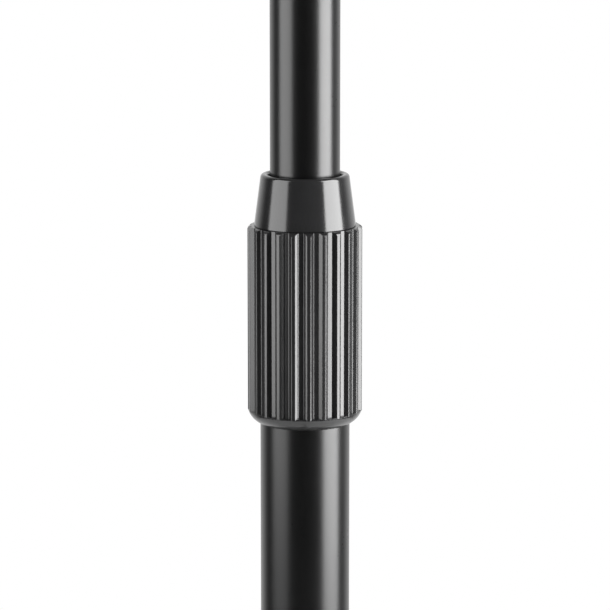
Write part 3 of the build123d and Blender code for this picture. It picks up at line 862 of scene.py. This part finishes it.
class MUSICSTAND_OT_base_hub(bpy.types.Operator):
    """Models the tripod's cast hub: a bored drum with a clamp boss and three pairs of lugs"""

    bl_idname = "musicstand.base_hub"
    bl_label = "Base hub"

    def execute(self, context):
        sizes = context.scene.stand_base
        low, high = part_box("base_hub")
        liner = span("base_liner").x / 2
        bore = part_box("base_knob_stud")[0].y - MAST.y
        rounding = 1.2 * MM
        hub = stand_on_mast(drum("base_hub_casting", liner, low.z, high.z, rounding))
        clamp_height = middle("base_knob").z
        boss_radius = high.z - clamp_height
        axis = along(MAST + UP * clamp_height, (0, 1, 0), UP)
        boss = drum("boss", boss_radius - 0.1 * MM, bore + 1 * MM, high.y - MAST.y, 1.0 * MM)
        combine(hub, put(boss, axis))
        for number in LEGS:
            self.add_lugs(hub, number, sizes, liner)
        cut(hub, stand_on_mast(drum("bore", bore, low.z - 5 * MM, high.z + 5 * MM, MM)))
        stud_hole = span("base_knob_stud").x / 2 + 0.3 * MM
        cut(hub, put(drum("hole", stud_hole, 0, high.y, MM, 48), axis))
        finish_cast(hub)
        hand_over(hub, "base", coated_casting("hub_coat"), "base_hub")
        self.model_liner()
        return {"FINISHED"}

    def add_lugs(self, hub, number, sizes, hub_radius):
        """Two rounded lugs and the web that carries them."""
        pivot = leg_pivot(number)
        stand = (pivot - MAST).xy.length
        root = hub_radius - stand - 2.4 * MM
        radius = sizes.lug_radius
        outline = [*arc((0, 0), radius, -90, 90, 24), (root, radius), (root, -radius)]
        place = beside_leg(number)
        for side in (-1, 1):
            near, far = sorted((side * sizes.lug_inside, side * sizes.lug_outside))
            lug = round_edges(prism("lug", outline, near, far), 1.0 * MM)
            combine(hub, put(lug, place))
        end = -sizes.lug_radius + 0.9 * MM
        web = block("web", (root, -sizes.lug_outside + MM, -radius + MM),
                    (end, sizes.lug_outside - MM, radius - MM), 0.3 * MM)
        combine(hub, put(web, place))

    def model_liner(self):
        """Nylon liner whose flange caps the hub."""
        low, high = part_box("base_liner")
        outer = (high.x - low.x) / 2
        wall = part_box("base_knob_stud")[0].y - MAST.y
        bore = span("lower_tube").x / 2 + 0.05 * MM
        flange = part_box("base_hub")[1].z
        edge = 0.9 * MM
        outline = [(bore, low.z + 0.4 * MM), (bore + 0.4 * MM, low.z), (wall, low.z), (wall, flange),
                   (outer - 0.2 * MM, flange), (outer, flange + 0.2 * MM),
                   *arc((outer - edge, high.z - edge), edge, 0, 90, 5),
                   (bore + 1.3 * MM, high.z), (bore, high.z - 1.3 * MM)]
        liner = turn_on_mast("base_liner_flange", outline, 128)
        hand_over(liner, "base", black_nylon("liner_nylon"), "base_liner")


class MUSICSTAND_OT_legs(bpy.types.Operator):
    """Models the three legs: tube, knuckle, pin and rubber foot"""

    bl_idname = "musicstand.legs"
    bl_label = "Legs"

    def execute(self, context):
        sizes = context.scene.stand_base
        tube_coat = satin_lacquer("leg_lacquer", paint("lower_lacquer"), roughness=0.36)
        knuckle_coat = moulded_plastic("knuckle_plastic", paint("knob_plastic"), roughness=0.36,
                                       grain_height=0.012 * MM)
        foot_coat = matt_rubber("foot_rubber")
        pin_coat = zinc_plate("pin_zinc", roughness=0.3)
        for number in LEGS:
            place = down_leg(number, sizes)
            length = (leg_end(number, sizes) - leg_pivot(number)).length
            body = f"leg_{number}"
            tube = smooth(put(self.model_tube(number, length), place))
            hand_over(tube, body, tube_coat, f"leg_tube_{number}")
            knuckle = self.model_knuckle(number, sizes, place)
            hand_over(knuckle, body, knuckle_coat, f"leg_knuckle_{number}")
            foot = self.model_foot(number, sizes, length, place)
            hand_over(foot, body, foot_coat, f"leg_foot_{number}")
            pin = self.model_pin(number, sizes)
            hand_over(pin, "base", pin_coat, f"leg_pin_{number}")
        return {"FINISHED"}

    def model_tube(self, number, length):
        """Tube from the knuckle's shoulder to the middle of the foot's round end."""
        radius, start = LEG_RADIUS, TUBE_SEAT
        bore = radius - 1.2 * MM
        edge = 0.2 * MM
        outline = [(bore, start), (radius - edge, start), (radius, start + edge), (radius, length),
                   (bore, length)]
        return lathe(f"leg_{number}_tube", outline, 96)

    def model_knuckle(self, number, sizes, place):
        """Tongue between the lugs, a web and a collar that seats on the tube's end."""
        tongue, half = sizes.tongue_radius, sizes.lug_inside - 0.3 * MM
        start, shoulder = 14.3 * MM, TUBE_SEAT - 0.1 * MM
        heel = [*arc((0, 0), tongue, -180, 90, 36), (0, 10 * MM), (-13 * MM, 10 * MM), (-13 * MM, 0)]
        body = round_edges(prism(f"leg_{number}_knuckle", heel, -half, half), 0.8 * MM)
        put(body, beside_leg(number))
        web = [(-tongue, 0), (tongue, 0), (tongue, start), (tongue - MM, shoulder),
               (MM - tongue, shoulder), (-tongue, start)]
        inset = 0.05 * MM
        web = round_edges(prism("web", web, inset - half, half - inset), 0.7 * MM)
        combine(body, put(web, place))
        spigot, spigot_end = 6.7 * MM, 40 * MM
        collar = [(0, start), (LEG_RADIUS - 0.7 * MM, start), (LEG_RADIUS, start + 0.7 * MM),
                  (LEG_RADIUS, shoulder), (spigot, shoulder), (spigot, spigot_end - MM),
                  (spigot - MM, spigot_end), (0, spigot_end)]
        combine(body, put(lathe("collar", collar, 96, closed=False), place))
        return finish_cast(body)

    def model_foot(self, number, sizes, length, place):
        """Rubber sleeve with a rounded lip, a few grip grooves and a round end cut flat below."""
        radius, bore = 11.0 * MM, LEG_RADIUS
        start = length - 34 * MM
        depth, pitch, lip = 0.55 * MM, 3.4 * MM, 1.2 * MM
        outline = [(0, length), (bore, length), (bore, start),
                   *arc((radius - lip, start + lip), lip, -90, 0, 5)]
        for i in range(sizes.foot_grooves):
            here = start + 7 * MM + i * pitch
            outline += [(radius, here), (radius - depth * 0.7, here + 0.3 * MM),
                        (radius - depth, here + 0.7 * MM), (radius - depth * 0.7, here + 1.1 * MM),
                        (radius, here + 1.4 * MM)]
        outline += arc((0, length), radius, 0, 90, 18)
        foot = put(lathe(f"leg_{number}_foot", outline, 96, closed=False), place)
        choose_all(foot)
        bpy.ops.mesh.bisect(plane_co=(0, 0, 0), plane_no=(0, 0, 1), use_fill=True, clear_inner=True,
                            threshold=0.001 * MM)
        return smooth(close(foot))

    def model_pin(self, number, sizes):
        """Pin with a domed head at each end."""
        radius, head = 3.0 * MM, 5.0 * MM
        lug = sizes.lug_outside
        half = [(radius, 0), (radius, lug), (head, lug),
                *dome(head, lug, lug + sizes.pin_head, 0.4 * MM, 8)]
        outline = [(across, -up) for across, up in reversed(half)][:-1] + half[1:]
        pin = lathe(f"leg_{number}_pin", outline, 64, closed=False)
        return smooth(put(pin, along(leg_pivot(number), joint(f"leg_{number}_fold")["axis"], UP)))


def knob_plastic(name):
    """Plastic of a clamp knob."""
    return moulded_plastic(name, paint("knob_plastic"), roughness=0.34, grain_height=0.012 * MM)


def model_knob(name, sizes, length, socket):
    """Lobed knob along Z: a neck, a smooth five-lobed grip with a dished face, a blind socket."""
    middle_radius = (sizes.lobe_radius + sizes.valley_radius) / 2
    swing = (sizes.lobe_radius - sizes.valley_radius) / 2
    count = sizes.lobes * 26
    outline = []
    for i in range(count):
        turn = 2 * pi * i / count
        radius = middle_radius + swing * cos(sizes.lobes * turn)
        outline.append((radius * cos(turn), radius * sin(turn)))
    knob = column(name, outline, sizes.neck, length)
    round_edges(knob, 2.2 * MM, 5)
    depth, rim = 0.75 * MM, 11.2 * MM
    corner = (rim - 0.8 * MM, length - depth)
    dish = [(0, length - depth), *eased((0, length - depth), corner, (rim, length), 0.6 * MM),
            (rim, length), (rim, length + MM), (0, length + MM)]
    cut(knob, lathe("dish", dish, 96, closed=False))
    combine(knob, drum("neck", sizes.neck_radius, 0, sizes.neck + 3 * MM, 0.7 * MM))
    cut(knob, drum("socket", socket, -2 * MM, length - sizes.neck, 0.2 * MM, 64))
    return finish_cast(knob)


class MUSICSTAND_OT_base_knob(bpy.types.Operator):
    """Models the knob that clamps the base on the lower tube, with its threaded stud"""

    bl_idname = "musicstand.base_knob"
    bl_label = "Base knob"

    def execute(self, context):
        low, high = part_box("base_knob")
        stud_low, stud_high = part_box("base_knob_stud")
        radius = (stud_high.x - stud_low.x) / 2
        start = MAST.copy()
        start.y = low.y
        start.z = (stud_low.z + stud_high.z) / 2
        knob = model_knob("base_knob_grip", context.scene.stand_knob, high.y - low.y, radius)
        put(knob, along(start, (0, 1, 0), UP))
        hand_over(knob, "base_knob", knob_plastic("knob_plastic"), "base_knob")
        pitch, depth = 1.25 * MM, 0.6 * MM
        boss_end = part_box("base_hub")[1].y
        turns = int((low.y - boss_end) / pitch) + 2
        first = boss_end - stud_low.y - pitch
        outline = [(0, 0), (radius - 0.6 * MM, 0), (radius, 0.6 * MM)]
        for i in range(turns):
            here = first + i * pitch
            outline += [(radius, here), (radius - depth, here + pitch * 0.45),
                        (radius - depth, here + pitch * 0.55)]
        end = stud_high.y - stud_low.y
        outline += [(radius, first + turns * pitch), (radius, end), (0, end)]
        stud = lathe("base_knob_thread", outline, 64, closed=False)
        stud = smooth(put(stud, along((start.x, stud_low.y, start.z), (0, 1, 0), UP)))
        hand_over(stud, "base_knob", zinc_plate("stud_zinc", roughness=0.28), "base_knob_stud")
        return {"FINISHED"}


class MUSICSTAND_OT_tube_plug(bpy.types.Operator):
    """Models the nylon plug in the lower tube's open end"""

    bl_idname = "musicstand.tube_plug"
    bl_label = "Tube plug"

    def execute(self, context):
        low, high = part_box("tube_plug")
        radius = (high.x - low.x) / 2
        bore = radius - context.scene.stand_mast.tube_wall
        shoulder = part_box("lower_tube")[0].z
        edge = 1.4 * MM
        outline = [(0, low.z + 0.8 * MM), (radius * 0.6, low.z + 0.8 * MM), (radius * 0.66, low.z),
                   *arc((radius - edge, low.z + edge), edge, -90, 0, 6), (radius, shoulder),
                   (bore, shoulder), (bore, high.z - 0.6 * MM), (bore - 0.6 * MM, high.z), (0, high.z)]
        plug = turn_on_mast("lower_mast_plug", outline, 96, closed=False)
        hand_over(plug, "lower_mast", black_nylon("plug_nylon"), "tube_plug")
        return {"FINISHED"}


# ---------------------------------------------------------------- head


TILT = Vector(joint("desk_tilt")["pos_m"])
LEAN = radians(joint("desk_tilt")["range_deg"][1])
KNUCKLE_HALF = 6.8 * MM
BOLT_HOLE = 4.05 * MM
GAP = 0.02 * MM


def on_tilt_axis(start):
    """Matrix on the tilt axis whose Z runs along it towards +X."""
    return along((start, TILT.y, TILT.z), (1, 0, 0), UP)


class MUSICSTAND_OT_head(bpy.types.Operator):
    """Models the fork on the upper tube, its screw and the tilt bolt with its washers"""

    bl_idname = "musicstand.head"
    bl_label = "Tilting head"

    def execute(self, context):
        hand_over(self.model_fork(), "upper_mast", coated_casting("fork_coat"), "head_fork")
        zinc = zinc_plate("bolt_zinc", roughness=0.28)
        hand_over(self.model_screw(), "upper_mast", zinc, "fork_screw")
        hand_over(self.model_bolt(), "upper_mast", zinc, "tilt_bolt")
        nylon = black_nylon("washer_nylon")
        hand_over(self.model_friction_washers(), "upper_mast", nylon, "friction_washers")
        low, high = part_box("knob_washer")
        washer = self.model_washer("tilt_knob_washer", (high.z - low.z) / 2, low.x + GAP, high.x - GAP)
        hand_over(washer, "knob_washer", zinc, "knob_washer")
        return {"FINISHED"}

    def model_fork(self):
        """Socket over the upper tube with two round ears, bored for the bolt."""
        low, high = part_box("head_fork")
        tube_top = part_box("upper_tube")[1].z
        tube_radius = span("upper_tube").x / 2
        socket_radius = tube_radius + 3.9 * MM
        ear = high.z - TILT.z
        ear_outside = 14.0 * MM
        ear_inside = 8.0 * MM
        roof = tube_top + 4 * MM
        fork = drum("head_fork_casting", socket_radius, low.z, roof, 1.2 * MM, 128)
        foot = tube_top - TILT.z
        outline = [*arc((0, 0), ear, 0, 180, 36), (-ear, foot), (ear, foot)]
        for near, far in ((-ear_outside, -ear_inside), (ear_inside, ear_outside)):
            side = round_edges(prism("ear", outline, near, far), 1.1 * MM)
            put(side, Matrix.Translation(UP * TILT.z) @ Matrix.Rotation(-pi / 2, 4, "Z"))
            combine(fork, side)
        cut(fork, drum("hole", tube_radius, low.z - 5 * MM, tube_top, 0.1 * MM, 128))
        bolt = drum("bolt", 4 * MM, -30 * MM, 30 * MM, MM, 48)
        cut(fork, put(bolt, along(UP * TILT.z, (1, 0, 0), UP)))
        stand_on_mast(fork)
        return finish_cast(fork)

    def model_screw(self):
        """Cap screw with a hexagon socket."""
        low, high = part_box("fork_screw")
        head = (high.z - low.z) / 2
        length = high.y - low.y
        stand = 3 * MM
        shank = 2.5 * MM
        outline = [(0, 0), (shank, 0), (shank, length - stand), (head, length - stand),
                   *arc((head - 0.6 * MM, length - 0.6 * MM), 0.6 * MM, 0, 90, 4), (0, length)]
        screw = lathe("head_fork_screw", outline, 64, closed=False)
        cut(screw, column("key", hexagon(2.3 * MM), length - 1.6 * MM, length + 2 * MM))
        centre = (low.z + high.z) / 2
        return smooth(put(screw, along((MAST.x, low.y, centre), (0, 1, 0), UP)))

    def model_bolt(self):
        """Carriage bolt with a low domed head."""
        low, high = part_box("tilt_bolt")
        head = (high.z - low.z) / 2
        height, shank = 4 * MM, 4 * MM
        length = high.x - low.x
        outline = [*reversed(dome(head, height, 0, -0.5 * MM, 14)), (head, height), (shank, height),
                   (shank, length - 0.7 * MM), (shank - 0.7 * MM, length), (0, length)]
        bolt = lathe("head_tilt_bolt", outline, 96, closed=False)
        return smooth(put(bolt, on_tilt_axis(low.x)))

    def model_washer(self, name, radius, start, end):
        """Washer on the tilt bolt, its edges rounded outside and chamfered inside."""
        thickness = end - start
        edge = min(0.35 * MM, thickness / 3)
        bore = BOLT_HOLE
        outline = [(bore, edge), (bore + edge, 0), *arc((radius - edge, edge), edge, -90, 0, 3),
                   *arc((radius - edge, thickness - edge), edge, 0, 90, 3), (bore + edge, thickness),
                   (bore, thickness - edge)]
        return smooth(put(lathe(name, outline, 96), on_tilt_axis(start)))

    def model_friction_washers(self):
        """Washers between the fork's ears and the desk's knuckle, clear of both."""
        low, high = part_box("friction_washers")
        inside = KNUCKLE_HALF + GAP
        radius = (high.z - low.z) / 2
        left = self.model_washer("friction_washer_left", radius, low.x + GAP, -inside)
        right = self.model_washer("friction_washer_right", radius, inside, high.x - GAP)
        return gather("head_friction_washers", [left, right])


class MUSICSTAND_OT_tilt_knob(bpy.types.Operator):
    """Models the knob that locks the desk's tilt"""

    bl_idname = "musicstand.tilt_knob"
    bl_label = "Tilt knob"

    def execute(self, context):
        low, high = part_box("tilt_knob")
        socket = span("tilt_knob_insert").z / 2
        knob = model_knob("tilt_knob_grip", context.scene.stand_knob, high.x - low.x, socket)
        put(knob, along((low.x, TILT.y, TILT.z), (1, 0, 0), Vector((0, 1, 0))))
        hand_over(knob, "tilt_knob", knob_plastic("tilt_knob_plastic"), "tilt_knob")
        return {"FINISHED"}


# ---------------------------------------------------------------- desk


DESK = Matrix.Translation(TILT) @ Matrix.Rotation(-LEAN, 4, "X")
DESK_BELOW = 150 * MM
DESK_HEIGHT = 340 * MM
DESK_WIDTH = span("desk_panel").x
SCREWS = [(x * MM, z * MM) for x in (-38, 38) for z in (-21, 21)]
NUT_BACK = 21 * MM


def on_desk(across, up, back):
    """Matrix at a place behind the desk's front, its Z pointing out of the front."""
    return DESK @ along((across, -back, up), (0, -1, 0), (1, 0, 0))


def face_out(piece, direction):
    """Turns an open sheet over if its largest face points the wrong way."""
    largest = max(piece.data.polygons, key=lambda face: face.area)
    if largest.normal.dot(direction) < 0:
        choose_all(piece)
        bpy.ops.mesh.flip_normals()
        bpy.ops.object.mode_set(mode="OBJECT")


def form_sheet(piece, sizes):
    """Rounds the folds of an outer skin, gives it its thickness inwards and puts it on the desk."""
    sharp = radians(60)
    round_edges(piece, sizes.bend, 5, sharp)
    modify(piece, "SOLIDIFY", thickness=sizes.sheet, offset=-1, use_even_offset=True)
    round_edges(piece, 0.3 * MM, 2, sharp)
    finish_cast(piece)
    put(piece, DESK)


class MUSICSTAND_OT_desk_panel(bpy.types.Operator):
    """Models the desk panel: one sheet with its sides and top folded back"""

    bl_idname = "musicstand.desk_panel"
    bl_label = "Desk panel"

    def execute(self, context):
        sizes = context.scene.stand_desk
        half = DESK_WIDTH / 2
        corner = sizes.corner
        bottom = -DESK_BELOW
        top = bottom + DESK_HEIGHT
        front = sizes.standoff + sizes.sheet
        outline = [(half, bottom), *arc((half - corner, top - corner), corner, 0, 90, 14),
                   *arc((corner - half, top - corner), corner, 90, 180, 14), (-half, bottom)]
        panel = draw("desk_panel_sheet", outline)
        bpy.ops.mesh.edge_face_add()
        bpy.ops.transform.translate(value=(0, -front, 0))
        bpy.ops.object.mode_set(mode="OBJECT")
        floor = bottom + MM
        choose(panel, edges=lambda a, b: max(a.z, b.z) > floor)
        bpy.ops.mesh.extrude_region_move(
            TRANSFORM_OT_translate={"value": (0, sizes.back_fold + sizes.sheet, 0)})
        close(panel)
        face_out(panel, Vector((0, -1, 0)))
        form_sheet(panel, sizes)
        hand_over(panel, "desk", powder_coat("desk_coat"), "desk_panel")
        return {"FINISHED"}


class MUSICSTAND_OT_shelf(bpy.types.Operator):
    """Models the shelf: a flange behind the panel, a ledge and an upturned lip"""

    bl_idname = "musicstand.shelf"
    bl_label = "Shelf"

    def execute(self, context):
        sizes = context.scene.stand_desk
        length = span("shelf").x
        back = sizes.standoff - sizes.sheet
        bottom = -DESK_BELOW - sizes.sheet
        lip_out = sizes.standoff + sizes.sheet + 52 * MM
        lip_top = bottom + 14 * MM
        path = [(back, 20 * MM - DESK_BELOW), (back, bottom), (lip_out, bottom), (lip_out, lip_top)]
        shelf = draw("desk_shelf", path, closed=False)
        bpy.ops.transform.translate(value=(0, -length / 2, 0))
        bpy.ops.mesh.extrude_region_move(TRANSFORM_OT_translate={"value": (0, length, 0)})
        close(shelf)
        put(shelf, Matrix.Rotation(-pi / 2, 4, "Z"))
        edge = 0.01 * MM
        choose(shelf, points=lambda p: p.y < edge - lip_out and p.z > lip_top - edge)
        bpy.ops.mesh.bevel(offset=sizes.lip_corner, segments=7, affect="VERTICES")
        bpy.ops.object.mode_set(mode="OBJECT")
        face_out(shelf, Vector((0, 0, -1)))
        form_sheet(shelf, sizes)
        hand_over(shelf, "desk", powder_coat("shelf_coat"), "shelf")
        return {"FINISHED"}


class MUSICSTAND_OT_desk_knuckle(bpy.types.Operator):
    """Models the cast knuckle between the tilt bolt and the desk's back"""

    bl_idname = "musicstand.desk_knuckle"
    bl_label = "Desk knuckle"

    def execute(self, context):
        sizes = context.scene.stand_desk
        half, radius = KNUCKLE_HALF, 12 * MM
        plate, lengthwise = 3 * MM, Matrix.Rotation(pi / 2, 4, "Y")
        barrel = drum("desk_knuckle_casting", radius, -half, half, 0.6 * MM, 96)
        knuckle = put(barrel, lengthwise)
        combine(knuckle, block("arm", (-half, -sizes.standoff + MM, -radius), (half, 0, radius), 0.6 * MM))
        outline = rounded_box(100 * MM, 66 * MM, radius)
        back = prism("plate", outline, -sizes.standoff, plate - sizes.standoff)
        combine(knuckle, round_edges(back, 0.7 * MM))
        reach, height = 14.6 * MM, 9 * MM
        root, start = half - MM, sizes.standoff - plate + MM
        for side in (-1, 1):
            rib = [(side * root, start), (side * reach, start), (side * root, start - height)]
            combine(knuckle, round_edges(column("rib", rib, -2 * MM, 2 * MM), 0.5 * MM))
        cut(knuckle, put(drum("hole", BOLT_HOLE, -10 * MM, 10 * MM, MM, 48), lengthwise))
        finish_cast(knuckle)
        put(knuckle, DESK)
        hand_over(knuckle, "desk", coated_casting("knuckle_coat"), "desk_knuckle")
        return {"FINISHED"}


class MUSICSTAND_OT_desk_fasteners(bpy.types.Operator):
    """Models the knuckle's four screws and nuts, and the shelf's rivets"""

    bl_idname = "musicstand.desk_fasteners"
    bl_label = "Desk fasteners"

    def execute(self, context):
        sizes = context.scene.stand_desk
        front = sizes.standoff + sizes.sheet
        behind = sizes.standoff - sizes.sheet
        screws = self.copies("desk_screws", self.model_screw(front), SCREWS)
        hand_over(screws, "desk", black_oxide("screw_oxide"), "knuckle_screws")
        nuts = self.copies("desk_nuts", self.model_nut(), SCREWS)
        hand_over(nuts, "desk", zinc_plate("screw_zinc", roughness=0.3), "knuckle_nuts")
        height = 10 * MM - DESK_BELOW
        places = [((i - (sizes.rivets - 1) / 2) * sizes.rivet_pitch, height) for i in range(sizes.rivets)]
        rivets = self.copies("desk_rivets", self.model_rivet(front, behind), places)
        hand_over(rivets, "desk", black_oxide("rivet_oxide"), "shelf_rivets")
        return {"FINISHED"}

    def copies(self, name, pattern, places):
        """One copy of a fastener at each (across, up) place on the desk."""
        made = [another(pattern, f"{name}_{i}") for i in range(len(places))]
        for piece, (across, up) in zip(made, places):
            put(piece, on_desk(across, up, 0))
        bpy.data.objects.remove(pattern)
        return gather(name, made)

    def model_screw(self, front):
        """Button-head screw with a hexagon socket; heights count outwards from the tilt axis."""
        head, height, shank, edge = 4 * MM, 2.2 * MM, 2 * MM, 0.3 * MM
        outline = [(0, NUT_BACK), (shank - edge, NUT_BACK), (shank, NUT_BACK + edge), (shank, front),
                   (head, front), *dome(head, front, front + height, 0.5 * MM, 10)]
        screw = lathe("screw", outline, 48, closed=False)
        cut(screw, column("key", hexagon(1.45 * MM), front + 0.8 * MM, front + 4 * MM))
        return smooth(screw)

    def model_nut(self):
        """Hexagon nut with chamfered corners."""
        start, end = NUT_BACK, NUT_BACK + 3 * MM
        nut = column("nut", hexagon(4 * MM), start, end)
        round_edges(nut, 0.3 * MM, 2)
        cut(nut, drum("bore", 2 * MM, start - MM, end + MM, 0.2 * MM, 40))
        return smooth(nut)

    def model_rivet(self, front, behind):
        """Blind rivet: a domed head in front and a rolled tail behind."""
        radius, head, height = 1.6 * MM, 3.4 * MM, 1.3 * MM
        tail = reversed(dome(head, behind, behind - height, -height / 2, 8))
        outline = [*tail, (head, behind), (radius, behind), (radius, front), (head, front),
                   *dome(head, front, front + height, 0.25 * MM, 10)]
        return smooth(lathe("rivet", outline, 40, closed=False))


class MUSICSTAND_OT_inner_finishes(bpy.types.Operator):
    """Gives the parts inside the clutch, the tubes and the knobs their finishes"""

    bl_idname = "musicstand.inner_finishes"
    bl_label = "Inner finishes"

    def execute(self, context):
        brass = bright_metal("inner_brass", paint("brass"), roughness=0.32, tint=(0.5, 0.34, 0.13))
        for material, nodes in (
            (black_nylon("inner_nylon"),
             ("clutch_core", "collet", "thrust_washer", "slide_bush", "tube_foot")),
            (brass, ("clamp_pad", "tilt_knob_insert")),
            (zinc_plate("inner_zinc", roughness=0.34), ("clutch_pins", "bush_ring")),
        ):
            for node in nodes:
                for place in frame["nodes"][node].material_slots:
                    place.material = material
        return {"FINISHED"}


# ---------------------------------------------------------------- stage


def aim(thing, direction):
    """Turns a light or the camera to look along a direction."""
    thing.rotation_euler = direction.to_track_quat("-Z", "Y").to_euler()


def area_light(name, azimuth, distance, width, height, centre_height, radiance):
    """Tall soft light that faces the mast, at an azimuth from the player's side towards +X."""
    direction = Vector((sin(azimuth), -cos(azimuth), 0))
    data = bpy.data.lights.new(name, "AREA")
    data.shape = "RECTANGLE"
    data.size = width
    data.size_y = height
    data.energy = radiance * pi * width * height
    light = bpy.data.objects.new(name, data)
    light.location = MAST + direction * distance + UP * centre_height
    aim(light, -direction)
    light.visible_camera = False
    bpy.context.scene.collection.objects.link(light)


class MUSICSTAND_OT_stage(bpy.types.Operator):
    """Sets the pale floor, the soft studio light and the camera"""

    bl_idname = "musicstand.stage"
    bl_label = "Stage"

    def execute(self, context):
        settings = context.scene.stand_stage
        self.lay_floor(settings.floor_radius)
        self.light()
        self.surround(context.scene)
        self.point_camera(context.scene, settings)
        context.scene.view_settings.view_transform = "Standard"
        return {"FINISHED"}

    def lay_floor(self, radius):
        floor = begin("floor", bpy.ops.mesh.primitive_circle_add, vertices=128, radius=radius,
                      fill_type="NGON", location=(MAST.x, MAST.y, 0))
        bpy.ops.object.mode_set(mode="OBJECT")
        finish = new_finish("pale_floor")
        cloud = finish.noise(0.35)
        pale, paler = (0.86, 0.86, 0.86), (0.9, 0.9, 0.9)
        give(floor, finish.set(Base_Color=finish.mix(cloud, pale, paler), Roughness=0.65 + cloud * 0.1))

    def light(self):
        """A bright tall light on the right and a weaker one on the left, both a little to the front."""
        distance = 1.6
        width = 2 * distance * tan(radians(23))
        area_light("right_softbox", radians(71), distance, width, height=2.18, centre_height=1.105,
                   radiance=13.7)
        area_light("left_softbox", radians(-67), distance, width, height=2.07, centre_height=1.185,
                   radiance=5.5)

    def surround(self, scene):
        """World: bright behind the stand, dim on the player's side, plain white to the camera."""
        scene.world = bpy.data.worlds.new("studio")
        sky = Nodes(scene.world, "Background")
        towards = sky.node("ShaderNodeTexCoord", output="Generated")
        depth = sky.node("ShaderNodeSeparateXYZ", {}, {"Vector": towards}, output="Y")
        fade = sky.band(depth, 0.3, 0.75, 0.03, 1.0)
        seen = sky.node("ShaderNodeLightPath", output="Is Camera Ray")
        glow = sky.node("ShaderNodeMix", {"data_type": "FLOAT"}, {"Factor": seen, "A": fade, "B": 1.0})
        sky.set(Color=(1, 1, 1, 1), Strength=glow)

    def point_camera(self, scene, settings):
        data = bpy.data.cameras.new("camera")
        data.sensor_width = 36
        data.lens = settings.camera_lens
        data.clip_start = 0.02
        camera = bpy.data.objects.new("camera", data)
        target = MAST + UP * (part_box("clutch_shell")[1].z - settings.aim_below_rim)
        rise = settings.camera_rise
        away = Vector((0, -cos(rise), sin(rise)))
        camera.location = target + away * settings.camera_distance
        aim(camera, -away)
        scene.collection.objects.link(camera)
        scene.camera = camera


# ---------------------------------------------------------------- add-on


OPERATORS = (
    MUSICSTAND_OT_stage,
    MUSICSTAND_OT_tubes,
    MUSICSTAND_OT_clutch_nose,
    MUSICSTAND_OT_clutch_grip,
    MUSICSTAND_OT_base_hub,
    MUSICSTAND_OT_legs,
    MUSICSTAND_OT_base_knob,
    MUSICSTAND_OT_tube_plug,
    MUSICSTAND_OT_head,
    MUSICSTAND_OT_tilt_knob,
    MUSICSTAND_OT_desk_knuckle,
    MUSICSTAND_OT_desk_panel,
    MUSICSTAND_OT_shelf,
    MUSICSTAND_OT_desk_fasteners,
    MUSICSTAND_OT_inner_finishes,
)


class MUSICSTAND_PT_panel(bpy.types.Panel):
    """Lists the stand's settings and pieces"""

    bl_label = "Music Stand"
    bl_space_type = "VIEW_3D"
    bl_region_type = "UI"
    bl_category = "Music Stand"

    def draw(self, context):
        scene = context.scene
        for key, kind in GROUPS.items():
            box = self.layout.box()
            for name in kind.__annotations__:
                box.prop(getattr(scene, key), name)
        for operator in OPERATORS:
            self.layout.operator(operator.bl_idname)


GROUPS = {
    "stand_mast": MastSizes,
    "stand_clutch": ClutchSizes,
    "stand_base": BaseSizes,
    "stand_knob": KnobSizes,
    "stand_desk": DeskSizes,
    "stand_colours": FinishColours,
    "stand_stage": StageSettings,
}
CLASSES = (*GROUPS.values(), *OPERATORS, MUSICSTAND_PT_panel)


def register():
    for item in CLASSES:
        bpy.utils.register_class(item)
    for name, group in GROUPS.items():
        setattr(bpy.types.Scene, name, bpy.props.PointerProperty(type=group))


def unregister():
    for name in GROUPS:
        delattr(bpy.types.Scene, name)
    for item in reversed(CLASSES):
        bpy.utils.unregister_class(item)


def main():
    register()
    for operator in OPERATORS:
        group, name = operator.bl_idname.split(".")
        getattr(getattr(bpy.ops, group), name)()


if __name__ == "__main__":
    main()
